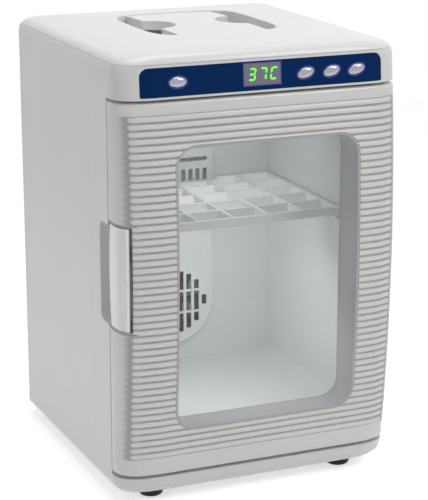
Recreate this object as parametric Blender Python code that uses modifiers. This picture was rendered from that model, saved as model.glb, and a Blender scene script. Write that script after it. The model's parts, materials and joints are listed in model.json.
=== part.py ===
"""Mini incubator: a 20 litre bench-top cabinet with a ribbed, windowed door.

Frame: X to the right seen from the front, front towards -Y, Z up, metres.
The origin is the middle of the bounding box, at the height of the table top.
"""

import math

import bmesh
import bpy
from mathutils import Matrix

# Overall cabinet
WIDTH = 0.310
DEPTH = 0.340
HEIGHT = 0.475
FOOT_HEIGHT = 0.012
CLEARANCE = 0.0003
WALL = 0.0025
BIG = 2 * (WIDTH + DEPTH + HEIGHT)

HALF_WIDTH = WIDTH / 2
FRONT_Y = -DEPTH / 2
BACK_Y = DEPTH / 2
SHELL_BOTTOM = FOOT_HEIGHT

# Door and its place between plinth and fascia
PLINTH_HEIGHT = 0.019
FASCIA_HEIGHT = 0.047
DOOR_GAP = 0.003
PLINTH_TOP = SHELL_BOTTOM + PLINTH_HEIGHT
DOOR_BOTTOM = PLINTH_TOP + DOOR_GAP
FASCIA_BOTTOM = HEIGHT - FASCIA_HEIGHT
DOOR_TOP = FASCIA_BOTTOM - DOOR_GAP
DOOR_SEAT_GAP = 0.002
DOOR_EDGE = 0.002
DOOR_LINER_SHEET = 0.0025

# Front face, bulged from top to bottom and rounded at its vertical edges
BULGE = 0.014
BULGE_Z = HEIGHT - 0.220
BULGE_REACH = HEIGHT - 0.254
CORNER_WIDTH = 0.040
CORNER_DEPTH = 0.0245
CORNER_POWER = 2.2
BACK_RADIUS = 0.010

# Top, crowned across its width
CROWN = 0.0075
TOP_FILLET = 0.012
TOP_PLAN_Z = HEIGHT - 0.020
TOP_PLAN_DROP = 0.005
BODY_LEVELS = 8
TOP_SEAM_Z = HEIGHT - 0.013
BOTTOM_FILLET = 0.004
PLINTH_FILLET = 0.012

# Cabinet shells
FRONT_FRAME_DEPTH = 0.052
SEAM_Y = FRONT_Y + 0.045
REAR_COVER_DEPTH = 0.012
DOOR_BACK_Y = SEAM_Y - DOOR_SEAT_GAP
FRAME_BACK_Y = SEAM_Y + FRONT_FRAME_DEPTH
REAR_SEAM_Y = BACK_Y - REAR_COVER_DEPTH
RING_BACK_Y = SEAM_Y + WALL

# Ribs of the door cover, fitted between the door's smooth margins
RIB_PITCH = 0.0072
RIB_DEPTH = 0.0017
RIB_FIRST_Z = DOOR_BOTTOM + 0.019
RIB_COUNT = int((DOOR_TOP - 0.012 - RIB_FIRST_Z + 1e-6) / RIB_PITCH)
RIB_LEFT_X = -HALF_WIDTH + 0.0165
RIB_RIGHT_X = HALF_WIDTH - 0.007
RIB_FADE = 0.0045

# Window in the door
WINDOW_WIDTH = WIDTH - 0.111
WINDOW_X = 0.004
WINDOW_BOTTOM = DOOR_BOTTOM + 0.049
WINDOW_TOP = DOOR_TOP - 0.0465
WINDOW_RADIUS = 0.020
PANE = 0.003
WINDOW_FRAME_WALL = 0.0025

# Hinge on the right
HINGE_X = HALF_WIDTH - 0.010
HINGE_Y = FRONT_Y + 0.031
HINGE_PIN_RADIUS = 0.003
HINGE_HEAD_RADIUS = 0.0038
HINGE_BUSH_WALL = 0.0025
HINGE_PIN_REACH = 0.010
HINGE_SWEEP_RADIUS = 0.0134

# Pull handle in the door's left edge, and the finger recess beside it
HANDLE_POCKET_X = -HALF_WIDTH + 0.0135
HANDLE_BOTTOM = DOOR_BOTTOM + 0.1595
HANDLE_HEIGHT = 0.109
HANDLE_SHEET = 0.003
HANDLE_FRONT_X = -HALF_WIDTH + 0.0088
HANDLE_PIVOT_X = -HALF_WIDTH + 0.0080
HANDLE_PIVOT_Y = FRONT_Y + 0.0175
HANDLE_PIN_RADIUS = 0.0015
HANDLE_BOSS_RADIUS = 0.0032
HANDLE_END_GAP = 0.0012
HANDLE_BOW = 0.004
HANDLE_LOW = HANDLE_BOTTOM + HANDLE_END_GAP
HANDLE_HIGH = HANDLE_BOTTOM + HANDLE_HEIGHT - HANDLE_END_GAP
BEZEL_WALL = 0.002
FINGER_DEPTH = 0.012
FINGER_REACH = 0.025
FINGER_RADIUS = 0.009

# Handle's hook and spring, and the keeper that the hook stands behind
HOOK_GAP = 0.0006
HOOK_LOW = HANDLE_BOTTOM + 0.0685
HOOK_HIGH = HOOK_LOW + 0.014
SPRING_TURNS = 3
SPRING_WIRE = 0.0004
SPRING_GAP_HIGH = HOOK_LOW - 0.015
SPRING_GAP_LOW = SPRING_GAP_HIGH - 0.007
KEEPER_MARGIN = 0.004
KEEPER_SHEET = 0.0015
KEEPER_WIDTH = 0.012
KEEPER_SET_BACK = 0.0012
KEEPER_LOW = (-HALF_WIDTH + FINGER_DEPTH + CLEARANCE, SEAM_Y + KEEPER_SET_BACK, HOOK_LOW - KEEPER_MARGIN)
KEEPER_HIGH = (KEEPER_LOW[0] + KEEPER_SHEET, KEEPER_LOW[1] + KEEPER_WIDTH, HOOK_HIGH + KEEPER_MARGIN)

# Chamber
CHAMBER_WIDTH = WIDTH - 0.060
CHAMBER_BOTTOM = DOOR_BOTTOM + 0.029
CHAMBER_TOP = DOOR_TOP - 0.022
CHAMBER_DEPTH = DEPTH - 0.118
CHAMBER_BACK_Y = SEAM_Y + CHAMBER_DEPTH + WALL
LINER_WALL = 0.002
LINER_RADIUS = 0.006
LINER_FRONT_Y = RING_BACK_Y + CLEARANCE
LINER_BACK_Y = CHAMBER_BACK_Y + LINER_WALL
FOAM_REAR = 0.026
FOAM_BACK_Y = LINER_BACK_Y + FOAM_REAR
FOAM_TOP = FASCIA_BOTTOM + 0.004


# Shelf and its ledges
SHELF_Z = CHAMBER_BOTTOM + 0.209
SHELF_THICKNESS = 0.009
SHELF_DEPTH = CHAMBER_DEPTH - 0.034
SHELF_SIDE_GAP = 0.001
SHELF_COLUMNS = 9
SHELF_ROWS = 5
SHELF_RIM = 0.005
SHELF_BAR = 0.003
LEDGE_WIDTH = 0.006
LEDGE_HEIGHT = 0.004

# Air duct and its cover
FAN_Z = CHAMBER_BOTTOM + 0.074
DUCT_HALF_WIDTH = 0.049
DUCT_RAISE = 0.012
DUCT_SHEET = 0.002
DUCT_TOP = CHAMBER_TOP - 0.085
GRILLE_RADIUS = 0.039
GRILLE_PITCH = 0.0096
GRILLE_SLOT = 0.0062
GRILLE_COLUMNS = 9

# Fans
FAN_SHROUD_RADIUS = 0.042
FAN_SHROUD_WALL = 0.002
FAN_TIP_GAP = 0.001
FAN_HUB_RADIUS = 0.013
FAN_MOTOR_THICKNESS = 0.003
FAN_BLADES = 7
FAN_BLADE_SHEET = 0.0014
BLADE_PITCH = math.radians(38)
INNER_FAN_DEPTH = 0.010
OUTER_FAN_SIZE = 0.092
OUTER_FAN_DEPTH = 0.015

# Thermoelectric stack, from the chamber outwards
COLD_SINK_SIZE = 0.090
COLD_SINK_DEPTH = 0.015
COLD_SINK_GAP = 0.0015
MODULE_SIZE = 0.040
MODULE_THICKNESS = 0.004
HOT_SINK_WIDTH = 0.120
HOT_SINK_HEIGHT = 0.100
HOT_SINK_DEPTH = 0.024
SINK_BASE = 0.004
SINK_FIN = 0.0015
SINK_FINS = 11
COLD_SINK_FRONT_Y = LINER_BACK_Y + COLD_SINK_GAP
COLD_SINK_BACK_Y = COLD_SINK_FRONT_Y + COLD_SINK_DEPTH
MODULE_FRONT_Y = COLD_SINK_BACK_Y + CLEARANCE
MODULE_BACK_Y = MODULE_FRONT_Y + MODULE_THICKNESS
HOT_SINK_FRONT_Y = FOAM_BACK_Y + CLEARANCE
HOT_SINK_BACK_Y = HOT_SINK_FRONT_Y + HOT_SINK_DEPTH
OUTER_FAN_FRONT_Y = HOT_SINK_BACK_Y + CLEARANCE
INNER_FAN_BACK_Y = COLD_SINK_FRONT_Y - CLEARANCE
INNER_FAN_FRONT_Y = INNER_FAN_BACK_Y - INNER_FAN_DEPTH


# Rear cover: fan grille, vents, inlet and screws
REAR_GRILLE_RADIUS = 0.042
REAR_GRILLE_SLOTS = 8
REAR_GRILLE_PITCH = 0.0098
REAR_SLOT = 0.0055
VENT_COLUMNS = 12
VENT_PITCH = 0.014
VENT_HEIGHT = 0.026
VENT_WIDTH = 0.005
UPPER_VENT_Z = HEIGHT - 0.070
LOWER_VENT_Z = FOOT_HEIGHT + 0.038
INLET_X = HALF_WIDTH - 0.060
INLET_Z = FOOT_HEIGHT + 0.050
INLET_WIDTH = 0.030
INLET_HEIGHT = 0.022
SCREW_RADIUS = 0.0018
SCREW_PLACES = [(-0.138, 0.030), (0.138, 0.030), (-0.138, 0.445), (0.138, 0.445), (0.0, 0.445),
                (0.0, 0.030)]

# Control panel in the fascia
PANEL_WIDTH = WIDTH - 0.046
PANEL_BOTTOM = FASCIA_BOTTOM + 0.0025
PANEL_HEIGHT = 0.0285
PANEL_SHEET = 0.0012
PANEL_TOP_RADIUS = 0.009
PANEL_LOW_RADIUS = 0.002
DISPLAY_X = -0.002
DISPLAY_Z = PANEL_BOTTOM + 0.0157
DISPLAY_WIDTH = 0.040
DISPLAY_HEIGHT = 0.0215
LENS_DEPTH = 0.0035
BUTTON_Z = PANEL_BOTTOM + 0.0135
BUTTON_XS = {"button_power": -0.0925, "button_set": 0.046, "button_up": 0.075, "button_down": 0.103}
BUTTON_WIDTH = 0.0185
BUTTON_HEIGHT = 0.0108
BUTTON_PROUD = 0.0028
BUTTON_TRAVEL = 0.0012
BUTTON_TILT = math.radians(14)
KEY_TAIL = 0.0042
KEY_FLANGE = 0.0014
KEY_SEAT = 0.0013

# Carry grip in the top
TRAY_HALF_LENGTH = 0.091
TRAY_HALF_WIDTH = 0.074
TRAY_Y = BACK_Y - 0.151
TRAY_DEPTH = 0.030
TRAY_SHEET = 0.002
GRIP_THICKNESS = 0.008
GRIP_HALF_WIDTH = 0.050
GRIP_BITE_RADIUS = 0.028
GRIP_BITE_DEPTH = 0.025

# Feet
FOOT_RADIUS = 0.0135
FOOT_X = HALF_WIDTH - 0.045
FOOT_FRONT_Y = FRONT_Y + 0.050
FOOT_REAR_Y = BACK_Y - 0.040

MODEL = bpy.data.collections.new("mini_incubator")
CUTTERS = bpy.data.collections.new("cutters")


# Basic tools


def clear_scene():
    for item in list(bpy.data.objects):
        bpy.data.objects.remove(item, do_unlink=True)
    bpy.context.scene.collection.children.link(MODEL)
    bpy.context.scene.collection.children.link(CUTTERS)


def material(name, color, roughness, metallic=0.0, alpha=1.0):
    found = bpy.data.materials.get(name)
    if found:
        return found
    made = bpy.data.materials.new(name)
    made.use_nodes = True
    shader = made.node_tree.nodes["Principled BSDF"]
    shader.inputs["Base Color"].default_value = (*color, 1.0)
    shader.inputs["Roughness"].default_value = roughness
    shader.inputs["Metallic"].default_value = metallic
    shader.inputs["Alpha"].default_value = alpha
    return made


def place(name, mesh, finish=None):
    """Make an object: a part when it has a finish, otherwise a cutter."""
    made = bpy.data.objects.new(name, mesh)
    if finish is None:
        CUTTERS.objects.link(made)
        made.hide_render = True
        made.display_type = "WIRE"
    else:
        MODEL.objects.link(made)
        own = finish.copy()
        own.name = name
        mesh.materials.clear()
        mesh.materials.append(own)
        mesh.shade_smooth()
        mesh.set_sharp_from_angle(angle=math.radians(32))
    return made


def mesh_from(bm, name):
    bmesh.ops.recalc_face_normals(bm, faces=bm.faces)
    mesh = bpy.data.meshes.new(name)
    bm.to_mesh(mesh)
    bm.free()
    return mesh


def box(name, low, high, finish=None):
    bm = bmesh.new()
    bmesh.ops.create_cube(bm, size=1.0)
    size = [high[i] - low[i] for i in range(3)]
    middle = [(high[i] + low[i]) / 2 for i in range(3)]
    bmesh.ops.scale(bm, vec=size, verts=bm.verts)
    bmesh.ops.translate(bm, vec=middle, verts=bm.verts)
    return place(name, mesh_from(bm, name), finish)


def along(axis):
    """Turn that takes +Z to the named axis, keeping outlines upright."""
    turns = {
        "X": Matrix(((0, 0, 1), (1, 0, 0), (0, 1, 0))).to_4x4(),
        "Y": Matrix(((1, 0, 0), (0, 0, -1), (0, 1, 0))).to_4x4(),
        "Z": Matrix.Identity(4),
    }
    return turns[axis]


def cylinder(name, centre, axis, radius, length, finish=None, segments=24, radius_end=None):
    """A cylinder or cone whose middle is at the centre."""
    bm = bmesh.new()
    end = radius if radius_end is None else radius_end
    bmesh.ops.create_cone(bm, cap_ends=True, segments=segments,
                          radius1=radius, radius2=end, depth=length)
    bmesh.ops.transform(bm, matrix=Matrix.Translation(centre) @ along(axis), verts=bm.verts)
    return place(name, mesh_from(bm, name), finish)


def prism(name, outline, axis, low, high, finish=None):
    """A flat outline pushed from low to high along an axis.

    Outline points are (y, z) along X, (x, z) along Y and (x, y) along Z.
    """
    curve = bpy.data.curves.new(name, "CURVE")
    curve.dimensions = "2D"
    curve.fill_mode = "BOTH"
    curve.extrude = (high - low) / 2
    spline = curve.splines.new("POLY")
    spline.points.add(len(outline) - 1)
    for point, (u, v) in zip(spline.points, outline):
        point.co = (u, v, 0, 1)
    spline.use_cyclic_u = True
    holder = bpy.data.objects.new(name, curve)
    CUTTERS.objects.link(holder)
    graph = bpy.context.evaluated_depsgraph_get()
    mesh = bpy.data.meshes.new_from_object(holder.evaluated_get(graph))
    bpy.data.objects.remove(holder, do_unlink=True)
    middle = (high + low) / 2
    shift = {"X": (middle, 0, 0), "Y": (0, middle, 0), "Z": (0, 0, middle)}[axis]
    mesh.transform(Matrix.Translation(shift) @ along(axis))
    bm = bmesh.new()
    bm.from_mesh(mesh)
    bmesh.ops.remove_doubles(bm, verts=bm.verts, dist=1e-6)
    mesh.name = name
    bmesh.ops.recalc_face_normals(bm, faces=bm.faces)
    bm.to_mesh(mesh)
    bm.free()
    return place(name, mesh, finish)


def loft(name, rings, finish=None):
    """Skin closed rings of equal length and close both ends."""
    bm = bmesh.new()
    rows = [[bm.verts.new(point) for point in ring] for ring in rings]
    count = len(rings[0])
    for lower, upper in zip(rows, rows[1:]):
        for i in range(count):
            j = (i + 1) % count
            bm.faces.new((lower[i], lower[j], upper[j], upper[i]))
    bm.faces.new(list(reversed(rows[0])))
    bm.faces.new(rows[-1])
    return place(name, mesh_from(bm, name), finish)


def turned(name, profile, centre, axis="Z", finish=None, steps=24):
    """A turned shape: profile points (radius, height) run top to bottom."""
    bm = bmesh.new()
    points = [bm.verts.new((radius, 0, height)) for radius, height in profile]
    for first, second in zip(points, points[1:]):
        bm.edges.new((first, second))
    mesh = bpy.data.meshes.new(name)
    bm.to_mesh(mesh)
    bm.free()
    made = bpy.data.objects.new(name, mesh)
    CUTTERS.objects.link(made)
    screw = made.modifiers.new("turn", "SCREW")
    screw.steps = steps
    screw.render_steps = steps
    screw.use_merge_vertices = True
    screw.merge_threshold = 0.00001
    solid = settle(made)
    bpy.data.objects.remove(made, do_unlink=True)
    solid.transform(Matrix.Translation(centre) @ along(axis))
    bm = bmesh.new()
    bm.from_mesh(solid)
    bmesh.ops.remove_doubles(bm, verts=bm.verts, dist=1e-6)
    return place(name, mesh_from(bm, name), finish)


def settle(made):
    """The evaluated mesh of an object."""
    graph = bpy.context.evaluated_depsgraph_get()
    graph.update()
    return bpy.data.meshes.new_from_object(made.evaluated_get(graph))


def combine(made, tools, operation):
    """Cut, join or intersect an object with tools, and remove the tools."""
    for tool in tools:
        modifier = made.modifiers.new(operation.lower(), "BOOLEAN")
        modifier.operation = operation
        modifier.solver = "EXACT"
        modifier.object = tool
    result = settle(made)
    materials = list(made.data.materials)
    made.modifiers.clear()
    made.data = result
    result.materials.clear()
    for slot in materials:
        result.materials.append(slot)
    if materials:
        result.shade_smooth()
        result.set_sharp_from_angle(angle=math.radians(32))
    for tool in tools:
        bpy.data.objects.remove(tool, do_unlink=True)
    return made


def cut(made, *tools):
    return combine(made, tools, "DIFFERENCE")


def join(made, *tools):
    return combine(made, tools, "UNION")


def keep(made, tool):
    return combine(made, [tool], "INTERSECT")


def rounded_outline(low, high, radii, steps=5):
    """Rectangle outline with a radius for each corner, from low left, counterclockwise."""
    corners = [(low[0], low[1], 180), (high[0], low[1], 270), (high[0], high[1], 0), (low[0], high[1], 90)]
    points = []
    for (u, v, start), radius in zip(corners, radii):
        if radius == 0:
            points.append((u, v))
            continue
        centre_u = u + radius * (1 if u == low[0] else -1)
        centre_v = v + radius * (1 if v == low[1] else -1)
        for k in range(steps + 1):
            angle = math.radians(start + 90 * k / steps)
            points.append((centre_u + radius * math.cos(angle), centre_v + radius * math.sin(angle)))
    return points


# Shared outer form

def front_y(z):
    """Front face line at a height: a shallow bulge."""
    return FRONT_Y + BULGE * ((z - BULGE_Z) / BULGE_REACH) ** 2


def top_z(x):
    """Height of the crowned top."""
    return HEIGHT - CROWN * (x / HALF_WIDTH) ** 2


def corner_point(t, inset):
    """Offset of a rounded front corner at t degrees: across, and back from the front face."""
    angle = math.radians(t)
    power = 2 / CORNER_POWER
    across = (CORNER_WIDTH - inset) * math.sin(angle) ** power
    back = (CORNER_DEPTH - inset) * (1 - max(math.cos(angle), 0.0) ** power)
    return across, back


def front_path(z, inset, steps=7):
    """Front outline from the left side to the right side at one height."""
    start = HALF_WIDTH - CORNER_WIDTH
    half = []
    for k in range(steps + 1):
        across, back = corner_point(90 * k / steps, inset)
        half.append((start + across, front_y(z) + inset + back))
    left = [(-x, y) for x, y in reversed(half)]
    return left + half


def body_plan(z, inset):
    """Closed plan outline of the cabinet, counterclockwise."""
    points = front_path(z, inset)
    side = HALF_WIDTH - inset
    back = BACK_Y - inset
    radius = max(BACK_RADIUS - inset, 0.002)
    arc = [90 * k / 4 for k in range(5)]
    right = [(side - radius + radius * math.cos(math.radians(a)),
              back - radius + radius * math.sin(math.radians(a))) for a in arc]
    left = [(-x, y) for x, y in reversed(right)]
    return points + right + left


def bottom_radius(y):
    """Lower edge radius: larger on the plinth than along the cabinet."""
    share = min(max((FRAME_BACK_Y - y) / (FRONT_FRAME_DEPTH / 2), 0), 1)
    return BOTTOM_FILLET + (PLINTH_FILLET - BOTTOM_FILLET) * share


def body_block(name, inset=0.0, bottom=SHELL_BOTTOM):
    """The cabinet's outer form as a solid, or the same form set in by a wall."""
    rings = []
    base = bottom + inset
    for k in range(4):
        angle = math.radians(90 * k / 3)
        outer = body_plan(base, inset)
        ring = []
        for x, y in outer:
            radius = bottom_radius(y)
            pull = radius * (1 - math.sin(angle))
            scale_x = (HALF_WIDTH - inset - pull) / (HALF_WIDTH - inset)
            scale_y = (BACK_Y - inset - pull) / (BACK_Y - inset)
            ring.append((x * scale_x, y * scale_y, base + radius * (1 - math.cos(angle))))
        rings.append(ring)
    for k in range(BODY_LEVELS + 1):
        z = PLINTH_TOP + (TOP_PLAN_Z - TOP_PLAN_DROP - PLINTH_TOP) * k / BODY_LEVELS
        rings.append([(x, y, z) for x, y in body_plan(z, inset)])
    radius = TOP_FILLET
    for k in range(5):
        angle = math.radians(90 * k / 4)
        pull = radius * (1 - math.cos(angle))
        ring = []
        for x, y in body_plan(TOP_PLAN_Z, inset):
            px = x * (HALF_WIDTH - inset - pull) / (HALF_WIDTH - inset)
            py = y * (BACK_Y - inset - pull) / (BACK_Y - inset)
            ring.append((px, py, top_z(px) - inset - radius * (1 - math.sin(angle))))
        rings.append(ring)
    last = rings[-1]
    for share in (0.8, 0.55, 0.3, 0.02):
        rings.append([(x * share, y * share, top_z(x * share) - inset) for x, y, _ in last])
    return loft(name, rings)


def body_shell(name):
    """The cabinet's outer skin, one wall thick."""
    shell = body_block(name)
    return cut(shell, body_block("shell_inside", WALL))


def piece_of_shell(name, low, high, finish):
    """One moulding of the outer skin: the skin inside a box."""
    shell = body_shell(name)
    keep(shell, box("region", low, high))
    return adopt(shell, finish)


def adopt(made, finish):
    """Move a finished cutter form into the model as a part."""
    mesh = made.data.copy()
    name = made.name
    bpy.data.objects.remove(made, do_unlink=True)
    return place(name, mesh, finish)


# Cabinet mouldings

def panel_outline(grow=0.0):
    half = PANEL_WIDTH / 2 + grow
    radii = (PANEL_LOW_RADIUS, PANEL_LOW_RADIUS, PANEL_TOP_RADIUS, PANEL_TOP_RADIUS)
    return rounded_outline((-half, PANEL_BOTTOM - grow), (half, PANEL_BOTTOM + PANEL_HEIGHT + grow), radii)


def ellipse(centre, half_u, half_v, tilt=0.0, count=16):
    points = []
    for k in range(count):
        angle = math.tau * k / count
        u = half_u * math.cos(angle)
        v = half_v * math.sin(angle)
        points.append((centre[0] + u * math.cos(tilt) - v * math.sin(tilt),
                       centre[1] + u * math.sin(tilt) + v * math.cos(tilt)))
    return points


def button_tilt(name):
    return 0.0 if name == "button_power" else BUTTON_TILT


def button_holes():
    """Clear holes for the four keys."""
    made = []
    for name, x in BUTTON_XS.items():
        outline = ellipse((x, BUTTON_Z), BUTTON_WIDTH / 2 + 0.0004, BUTTON_HEIGHT / 2 + 0.0004,
                          button_tilt(name))
        made.append(prism("key_hole", outline, "Y", FRONT_Y - 0.01, SEAM_Y))
    return made


def display_hole(grow=0.0):
    low = (DISPLAY_X - DISPLAY_WIDTH / 2 - grow, FRONT_Y - 0.01, DISPLAY_Z - DISPLAY_HEIGHT / 2 - grow)
    high = (DISPLAY_X + DISPLAY_WIDTH / 2 + grow, SEAM_Y, DISPLAY_Z + DISPLAY_HEIGHT / 2 + grow)
    return box("display_hole", low, high)


def finger_pocket(name, grow=0.0):
    """Outline of the finger recess in the side, open towards the door."""
    low = (SEAM_Y - 0.001 - grow, HANDLE_BOTTOM - grow)
    high = (SEAM_Y + FINGER_REACH + grow, HANDLE_BOTTOM + HANDLE_HEIGHT - 0.004 + grow)
    outline = rounded_outline(low, high, (0, FINGER_RADIUS, FINGER_RADIUS, 0))
    return prism(name, outline, "X", -HALF_WIDTH - 0.01, -HALF_WIDTH + FINGER_DEPTH + grow)


def front_frame(finish):
    frame = body_block("front_frame")
    keep(frame, box("region", (-BIG, -BIG, 0), (BIG, FRAME_BACK_Y, TOP_SEAM_Z - CLEARANCE / 2)))
    cavity = body_block("cavity", WALL)
    keep(cavity, box("region", (-BIG, RING_BACK_Y, 0), (BIG, BIG, BIG)))
    fascia = body_block("fascia_hollow", WALL)
    keep(fascia, box("region", (-BIG, -BIG, FASCIA_BOTTOM + WALL), (BIG, RING_BACK_Y + 0.001, BIG)))
    plinth = body_block("plinth_hollow", WALL)
    keep(plinth, box("region", (-BIG, -BIG, 0), (BIG, RING_BACK_Y + 0.001, PLINTH_TOP - WALL)))
    door_space = box("door_space", (-BIG, -BIG, PLINTH_TOP), (BIG, SEAM_Y, FASCIA_BOTTOM))
    half = CHAMBER_WIDTH / 2
    mouth = rounded_outline((-half, CHAMBER_BOTTOM), (half, CHAMBER_TOP), [LINER_RADIUS] * 4)
    opening = prism("chamber_mouth", mouth, "Y", SEAM_Y - 0.01, RING_BACK_Y + 0.01)
    cut(frame, cavity, fascia, plinth, door_space, opening)
    pocket_wall = finger_pocket("pocket_wall", WALL)
    inside = body_block("pocket_limit", WALL / 2)
    keep(inside, box("region", (-BIG, SEAM_Y, 0), (BIG, BIG, BIG)))
    keep(pocket_wall, inside)
    join(frame, pocket_wall)
    pin_top = cylinder("pin_hole", (HINGE_X, HINGE_Y, FASCIA_BOTTOM), "Z", HINGE_PIN_RADIUS + CLEARANCE,
                       0.012)
    pin_low = cylinder("pin_hole", (HINGE_X, HINGE_Y, PLINTH_TOP), "Z", HINGE_PIN_RADIUS + CLEARANCE, 0.012)
    head_low = cylinder("head_room", (HINGE_X, HINGE_Y, PLINTH_TOP - WALL - 0.0025), "Z",
                        HINGE_HEAD_RADIUS + CLEARANCE, 0.005)
    recess = prism("panel_recess", panel_outline(CLEARANCE), "Y", -BIG, SEAM_Y)
    cut(recess, body_block("recess_floor", PANEL_SHEET + CLEARANCE))
    keeper_low = [v - CLEARANCE for v in KEEPER_LOW]
    keeper_high = [v + CLEARANCE for v in KEEPER_HIGH]
    keeper_low[0] -= 0.001
    seat = box("keeper_seat", keeper_low, keeper_high)
    cut(frame, finger_pocket("pocket"), pin_top, pin_low, head_low, recess, seat)
    cut(frame, display_hole(CLEARANCE), *button_holes())
    return adopt(frame, finish)


def side_panel(name, side, finish):
    inner = HALF_WIDTH - 0.012
    low = [-BIG, FRAME_BACK_Y + CLEARANCE, 0]
    high = [-inner, REAR_SEAM_Y - CLEARANCE, TOP_SEAM_Z - CLEARANCE / 2]
    if side > 0:
        low[0], high[0] = inner, BIG
    return piece_of_shell(name, low, high, finish)


def base_pan(finish):
    inner = HALF_WIDTH - 0.012 - CLEARANCE
    return piece_of_shell("base_pan", (-inner, FRAME_BACK_Y + CLEARANCE, 0),
                          (inner, REAR_SEAM_Y - CLEARANCE, 0.05), finish)


def tray_outline(inset=0.0, count=44):
    """Barrel-shaped outline: bowed sides and straighter ends."""
    points = []
    for k in range(count):
        angle = math.tau * (k + 0.5) / count
        c, s = math.cos(angle), math.sin(angle)
        x = (TRAY_HALF_WIDTH - inset) * math.copysign(abs(c) ** (2 / 2.6), c)
        y = (TRAY_HALF_LENGTH - inset) * math.copysign(abs(s) ** (2 / 5.0), s)
        points.append((x, TRAY_Y + y))
    return points


def top_cover(finish):
    cover = body_shell("top_cover")
    keep(cover, box("region", (-BIG, -BIG, TOP_SEAM_Z + CLEARANCE / 2), (BIG, BIG, BIG)))
    cut(cover, prism("tray_hole", tray_outline(-CLEARANCE), "Z", 0.4, 0.5))
    return adopt(cover, finish)


def carry_tray(finish):
    tray = body_block("carry_tray")
    keep(tray, prism("tray_form", tray_outline(), "Z", HEIGHT - TRAY_DEPTH, HEIGHT + 0.01))
    hollow = prism("tray_hollow", tray_outline(TRAY_SHEET), "Z", HEIGHT - TRAY_DEPTH + TRAY_SHEET,
                   HEIGHT + 0.01)
    cut(tray, hollow)
    return adopt(tray, finish)


def carry_grip(finish):
    grip = body_block("carry_grip", 0.0008)
    half_y = TRAY_HALF_LENGTH + 0.01
    plate = rounded_outline((-GRIP_HALF_WIDTH, TRAY_Y - half_y), (GRIP_HALF_WIDTH, TRAY_Y + half_y),
                            [0.004] * 4)
    keep(grip, prism("grip_form", plate, "Z", HEIGHT - GRIP_THICKNESS - 0.003, HEIGHT + 0.01))
    keep(grip, prism("grip_limit", tray_outline(TRAY_SHEET + CLEARANCE), "Z", 0.4, 0.5))
    across = GRIP_HALF_WIDTH - GRIP_BITE_DEPTH + GRIP_BITE_RADIUS
    bites = [cylinder("bite", (side * across, TRAY_Y, HEIGHT), "Z", GRIP_BITE_RADIUS, 0.1, segments=36)
             for side in (-1, 1)]
    cut(grip, *bites)
    return adopt(grip, finish)


def rear_cover(finish):
    cover = body_shell("rear_cover")
    keep(cover, box("region", (-BIG, REAR_SEAM_Y + CLEARANCE, 0), (BIG, BIG, TOP_SEAM_Z - CLEARANCE / 2)))
    tools = []
    for k in range(REAR_GRILLE_SLOTS):
        offset = (k - (REAR_GRILLE_SLOTS - 1) / 2) * REAR_GRILLE_PITCH
        reach = math.sqrt(REAR_GRILLE_RADIUS ** 2 - offset ** 2)
        tools.append(box("slot", (-reach, REAR_SEAM_Y, FAN_Z + offset - REAR_SLOT / 2),
                         (reach, BACK_Y + 0.01, FAN_Z + offset + REAR_SLOT / 2)))
    for z in (LOWER_VENT_Z, UPPER_VENT_Z):
        for k in range(VENT_COLUMNS):
            x = (k - (VENT_COLUMNS - 1) / 2) * VENT_PITCH
            if z == LOWER_VENT_Z:
                x -= 0.045
            tools.append(box("slot", (x - VENT_WIDTH / 2, REAR_SEAM_Y, z - VENT_HEIGHT / 2),
                             (x + VENT_WIDTH / 2, BACK_Y + 0.01, z + VENT_HEIGHT / 2)))
    tools.append(box("inlet_hole", (INLET_X - INLET_WIDTH / 2 - CLEARANCE, REAR_SEAM_Y,
                                    INLET_Z - INLET_HEIGHT / 2 - CLEARANCE),
                     (INLET_X + INLET_WIDTH / 2 + CLEARANCE, BACK_Y + 0.01,
                      INLET_Z + INLET_HEIGHT / 2 + CLEARANCE)))
    for x, z in SCREW_PLACES:
        tools.append(cylinder("screw_hole", (x, BACK_Y, z), "Y", SCREW_RADIUS + CLEARANCE, 0.02,
                              segments=12))
    cut(cover, *tools)
    return adopt(cover, finish)


# Chamber, insulation and shelf

def chamber_prism(name, grow, low_y, high_y):
    half = CHAMBER_WIDTH / 2 + grow
    outline = rounded_outline((-half, CHAMBER_BOTTOM - grow), (half, CHAMBER_TOP + grow),
                              [LINER_RADIUS + grow] * 4)
    return prism(name, outline, "Y", low_y, high_y)


def inner_liner(finish):
    liner = chamber_prism("inner_liner", LINER_WALL, LINER_FRONT_Y, LINER_BACK_Y)
    cut(liner, chamber_prism("room", 0, LINER_FRONT_Y - 0.01, CHAMBER_BACK_Y))
    half = CHAMBER_WIDTH / 2
    ledge_top = SHELF_Z - CLEARANCE
    for side in (-1, 1):
        ends = sorted((side * (half + LINER_WALL / 2), side * (half - LEDGE_WIDTH)))
        join(liner, box("ledge", (ends[0], CHAMBER_BACK_Y - SHELF_DEPTH, ledge_top - LEDGE_HEIGHT),
                        (ends[1], CHAMBER_BACK_Y + LINER_WALL / 2, ledge_top)))
    cut(liner, cylinder("fan_hole", (0, LINER_BACK_Y, FAN_Z), "Y", FAN_SHROUD_RADIUS + 0.0005, 0.02,
                        segments=36))
    return adopt(liner, finish)


def foam_insulation(finish):
    inset = WALL + CLEARANCE
    foam = body_block("foam_insulation", inset)
    keep(foam, box("region", (-BIG, RING_BACK_Y + CLEARANCE, SHELL_BOTTOM + WALL + CLEARANCE),
                   (BIG, FOAM_BACK_Y, FOAM_TOP)))
    room = chamber_prism("room", LINER_WALL + CLEARANCE, RING_BACK_Y - 0.01, LINER_BACK_Y + CLEARANCE)
    half = COLD_SINK_SIZE / 2 + 0.002
    shaft = box("cooling_shaft", (-half, 0, FAN_Z - half), (half, 0.2, FAN_Z + half))
    cut(foam, room, shaft, finger_pocket("pocket", WALL + CLEARANCE))
    return adopt(foam, finish)


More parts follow.
